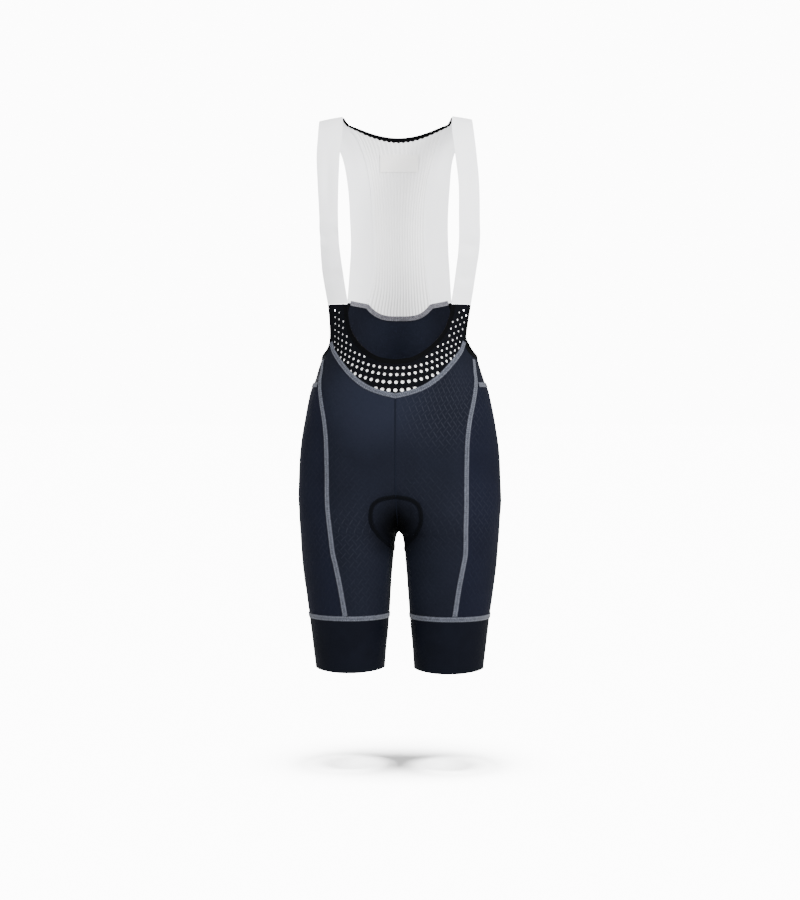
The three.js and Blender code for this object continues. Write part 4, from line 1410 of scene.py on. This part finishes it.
def pad_piece():
    points, normal, thick = pad_rows()
    outer = pulled(points, False)
    inner = outer - normal * thick[..., None]
    both = np.concatenate([outer.reshape(-1, 3), inner.reshape(-1, 3)])
    flat = np.concatenate([unrolled(points).reshape(-1, 2)] * 2)
    return mesh_piece("seat_pad", both, wall_faces(*points.shape[:2], False), PAD, flat)


seat_pad = place(pad_piece(), "pad", slot="pad")
pad_line = spaced(np.concatenate([
    [(float(front_middle(PAD_FRONT["down"])) + 0.8, PAD_FRONT["down"]), PAD_FRONT["corner"]],
    rows_of(PAD_SIDE, "angle", "down"),
    PAD_BACK["corners"],
    [(float(back_middle(PAD_BACK["down"])) - 360.8, PAD_BACK["down"])],
]), 260)
for side_name, side_sign in SIDES:
    made = tape_wall(f"pad_ring_{side_name}", Half(side_sign), pad_line, PAD_OUTLINE, 6.5, 0.45, 0.75)
    place(made, f"pad_outline_{side_name}", slot="pad_outline")


# Sewing
def frames_along(surface, line, offset, lift, closed=False):
    """Points beside a line with the ways along it and out of the cloth."""
    points, normal = laid(surface, line)
    along = ways_along(points, closed)
    along /= np.linalg.norm(along, axis=-1, keepdims=True)
    side = np.cross(along, normal)
    points = points + side * offset + normal * (lift + creases(points))[:, None]
    return points, along, side, normal


STITCH_SIDES = 6
STITCH_TIP = 0.5
STITCH_BEND = 0.3


def stitch_mesh(centres, along, side, normal, length, thick):
    """Small rounded stitches, one at each centre."""
    turns = np.linspace(0, 2 * math.pi, STITCH_SIDES, endpoint=False) + 0.5
    across = np.cos(turns)[:, None, None] * side + np.sin(turns)[:, None, None] * normal * 0.8
    rings = [(centres + along * length * share + across * thick / 2).transpose(1, 0, 2)
             for share in (-STITCH_BEND, STITCH_BEND)]
    tips = [centres + along * length * share for share in (-STITCH_TIP, STITCH_TIP)]
    points = np.concatenate([np.stack(tips, axis=1), *rings], axis=1)
    faces = []
    for k in range(STITCH_SIDES):
        after = (k + 1) % STITCH_SIDES
        near, far = 2 + k, 2 + STITCH_SIDES + k
        near_after, far_after = 2 + after, 2 + STITCH_SIDES + after
        faces += [(0, near_after, near), (near, near_after, far_after, far), (1, far, far_after)]
    count = points.shape[1]
    every = [tuple(count * i + corner for corner in face) for i in range(len(points)) for face in faces]
    return points.reshape(-1, 3), every


def sewn(name, surface, line, rows, finish, slot, length=2.4, pitch=3.6, thick=0.4, closed=False):
    """Rows of stitches along a line, each row given by its offset and its lift."""
    points, faces = [], []
    for number, (offset, lift) in enumerate(rows):
        path = frames_along(surface, line, offset, lift, closed)
        steps = np.linalg.norm(np.diff(path[0], axis=0), axis=-1)
        done = np.concatenate([[0], np.cumsum(steps)])
        at = np.arange(pitch / 2 + number % 2 * pitch / 3, done[-1] - length / 2, pitch)
        here = [interpolated(at, done, part) for part in path]
        made, sides = stitch_mesh(*here, length, thick)
        start = sum(len(part) for part in points)
        points.append(made)
        faces += [tuple(start + corner for corner in face) for face in sides]
    place(mesh_piece(name, np.concatenate(points), faces, finish), slot=slot)


def ridge(name, surface, line, width, thick, finish, slot, lift=0.0):
    """A narrow raised seam along a line."""
    place(tape_wall(name, surface, line, finish, width, lift, thick, across=6), slot=slot)


for end_name, edge in NECK_ENDS:
    ridge(end_name, SHOULDERS, edge, 4.4, CLOTH + 1.1, BLACK_ELASTIC, "black_elastic", -CLOTH - 0.45)
COVER_ROWS = ((-2.3, 1.22), (2.3, 1.22))
TOP_ROWS = ((-2.3, RIB_HEIGHT + 1.12), (2.3, RIB_HEIGHT + 1.12))
INNER_LIFT = -CLOTH - RIB_HEIGHT - 1.15
for thread_name, line, rows in (
        ("thread_seam_u", u_line, COVER_ROWS),
        ("thread_seam_yoke", yoke_line, COVER_ROWS),
        ("thread_back_top", top_line, TOP_ROWS),
        ("thread_back_top_inner", top_line, ((-2.3, INNER_LIFT), (2.3, INNER_LIFT)))):
    sewn(thread_name, TORSO, line, rows, PALE_THREAD, "grey_seam")


def middle_line(edge, first, last):
    """The middle seam of the front or the back, on the right half."""
    down = np.linspace(first, last, 120)
    return np.stack([edge(down), down], axis=1)


def inseam(first, last):
    """The line along the inside of a leg."""
    down = np.linspace(first, last, 90)
    return np.stack([np.full(90, -90.0), down], axis=1)


for seam_name, edge, first, last, width, thick in (
        ("centre_front_seam", front_middle, 472.5, 632.2, 2.6, 0.55),
        ("centre_crotch_seam", front_middle, 631.8, 688, 2.4, 0.5),
        ("centre_back_seam", back_middle, 454, 598.2, 2.6, 0.55),
        ("centre_seat_seam", back_middle, 597.8, 688, 2.4, 0.5)):
    ridge(seam_name, TORSO, middle_line(edge, first, last), width, thick, DARK_THREAD, "navy_stretch")
armhole_line = resampled(armhole_seam, 240)[2:-2]
waist_line = across_front(resampled(waist_seam, 240))
for side_name, side_sign in SIDES:
    half = Half(side_sign)
    for kind, line in zip(LEG_SEAMS, leg_lines(side_sign)):
        sewn(f"thread_{kind}_{side_name}", half, line, COVER_ROWS, PALE_THREAD, "grey_seam",
             closed=kind == "cuff")
    ridge(f"inseam_{side_name}", half, inseam(728, SEAM_END), 2.4, 0.5, DARK_THREAD, "navy_stretch")
    sewn(f"thread_armhole_{side_name}", half, armhole_line, ((1.2, 0.36),), DARK_THREAD,
         "black_elastic", thick=0.36)
    sewn(f"thread_pad_ring_{side_name}", half, pad_line, ((-2.1, 1.08), (2.1, 1.08)), DARK_THREAD,
         "pad_outline", length=2.0, pitch=3.0, thick=0.36)
    stations = np.linspace(NECK_SIDE + 0.35, LAST_STATION - 0.12, 240)
    edge = np.stack([stations, shoulder_edge(f"{side_name}_inner", stations)], axis=1)
    ridge(f"back_join_inner_{side_name}", SHOULDERS, edge, 4.6, 0.5, WHITE_THREAD, "white_mesh",
          -CLOTH - 0.75)
    ridge(f"back_join_{side_name}", SHOULDERS, edge, 4.6, 0.5, WHITE_THREAD, "white_mesh", 0.2)
    sewn(f"thread_back_join_{side_name}", SHOULDERS, edge,
         ((-1.5, 0.72), (1.5, 0.72), (-1.5, -CLOTH - 0.8), (1.5, -CLOTH - 0.8)), WHITE_THREAD,
         "white_mesh", thick=0.34)
sewn("thread_waist", TORSO, waist_line, ((1.4, 0.36),), DARK_THREAD, "black_elastic", thick=0.36)
label_lift = -CLOTH - RIB_HEIGHT - LABEL_GAP - 0.62
STITCHED_TOP, STITCHED_BOTTOM = 10.83, 11.42
STITCHED_LEFT, STITCHED_RIGHT = -32, 31.5
LABEL_EDGES = (
    ("top", [(STITCHED_TOP, x) for x in np.linspace(STITCHED_LEFT, STITCHED_RIGHT, 60)]),
    ("bottom", [(STITCHED_BOTTOM, x) for x in np.linspace(STITCHED_LEFT, STITCHED_RIGHT, 60)]),
    ("left", [(s, STITCHED_LEFT) for s in np.linspace(STITCHED_TOP, STITCHED_BOTTOM, 30)]),
    ("right", [(s, STITCHED_RIGHT) for s in np.linspace(STITCHED_TOP, STITCHED_BOTTOM, 30)]),
)
for edge_name, edge_line in LABEL_EDGES:
    sewn(f"thread_label_{edge_name}", SHOULDERS, np.array(edge_line), ((0, label_lift),), WHITE_THREAD,
         "label", length=1.8, pitch=2.6, thick=0.32)


# The camera, the floor and the light
FLOOR_LEVEL = -1.089
FLOOR_REACH = 40
AIM = (0, 0, -0.5)


camera = added("camera", bpy.data.cameras.new("camera"))
camera.location = (0, -2.9, -0.474)
camera.rotation_euler = (math.radians(90), 0, 0)
camera.data.sensor_width = 36
camera.data.lens = 69.04
camera.data.shift_x = 0.0006
camera.data.shift_y = -0.0555
bpy.context.scene.camera = camera

# A white room: the camera sees its walls brighter than they light the cloth
world = bpy.data.worlds.new("studio")
world.use_nodes = True
tree = world.node_tree
ray = tree.nodes.new("ShaderNodeLightPath")
level = tree.nodes.new("ShaderNodeMapRange")
level.inputs["To Min"].default_value = 1.2
level.inputs["To Max"].default_value = 12.0
tree.links.new(ray.outputs["Is Camera Ray"], level.inputs["Value"])
tree.links.new(level.outputs["Result"], tree.nodes["Background"].inputs["Strength"])
tree.nodes["Background"].inputs["Color"].default_value = (1, 1, 1, 1)
bpy.context.scene.world = world


def soft_light(name, at, size, power):
    """A round lamp that is aimed at the middle of the garment."""
    light = bpy.data.lights.new(name, "AREA")
    light.shape = "DISK"
    light.size = size
    light.energy = power
    lamp = added(name, light)
    lamp.location = at
    way = Vector(AIM) - Vector(at)
    lamp.rotation_euler = way.to_track_quat("-Z", "Y").to_euler()
    return lamp


def lights_receive(lamp, name, state):
    """Links a light to the floor alone, or keeps it off the floor."""
    group = bpy.data.collections.new(name)
    group.objects.link(floor)
    group.collection_objects[0].light_linking.link_state = state
    lamp.light_linking.receiver_collection = group


def pale_floor():
    """A white floor that throws less light back at the cloth than it shows."""
    finish = Finish("floor", 0.9)
    ray = finish.node("LightPath")
    finish.color(finish.blend(ray.outputs["Is Camera Ray"], (0.15, 0.15, 0.15), (0.93, 0.93, 0.93)))
    return finish.material


floor_mesh = bpy.data.meshes.new("floor")
corners = [(x * FLOOR_REACH, y * FLOOR_REACH, FLOOR_LEVEL) for x, y in ((-1, -1), (1, -1), (1, 1), (-1, 1))]
floor_mesh.from_pydata(corners, [], [(0, 1, 2, 3)])
floor_mesh.materials.append(pale_floor())
floor = added("floor", floor_mesh)

# The ceiling lights the floor alone, and the lamps only the cloth
sun = bpy.data.lights.new("ceiling", "SUN")
sun.energy = 39
sun.angle = 0.3
ceiling = added("ceiling", sun)
ceiling.rotation_euler = (math.radians(3), 0, 0)
lights_receive(ceiling, "lit_floor", "INCLUDE")
key = soft_light("key", (1.9, -2.2, 1.1), 1.2, 275)
fill = soft_light("fill", (-2.0, -2.2, 0.6), 1.3, 78)
rear = soft_light("rear", (-0.9, 2.6, 0.9), 1.4, 150)
for lamp in (key, fill, rear):
    lights_receive(lamp, f"{lamp.name}_off_floor", "EXCLUDE")
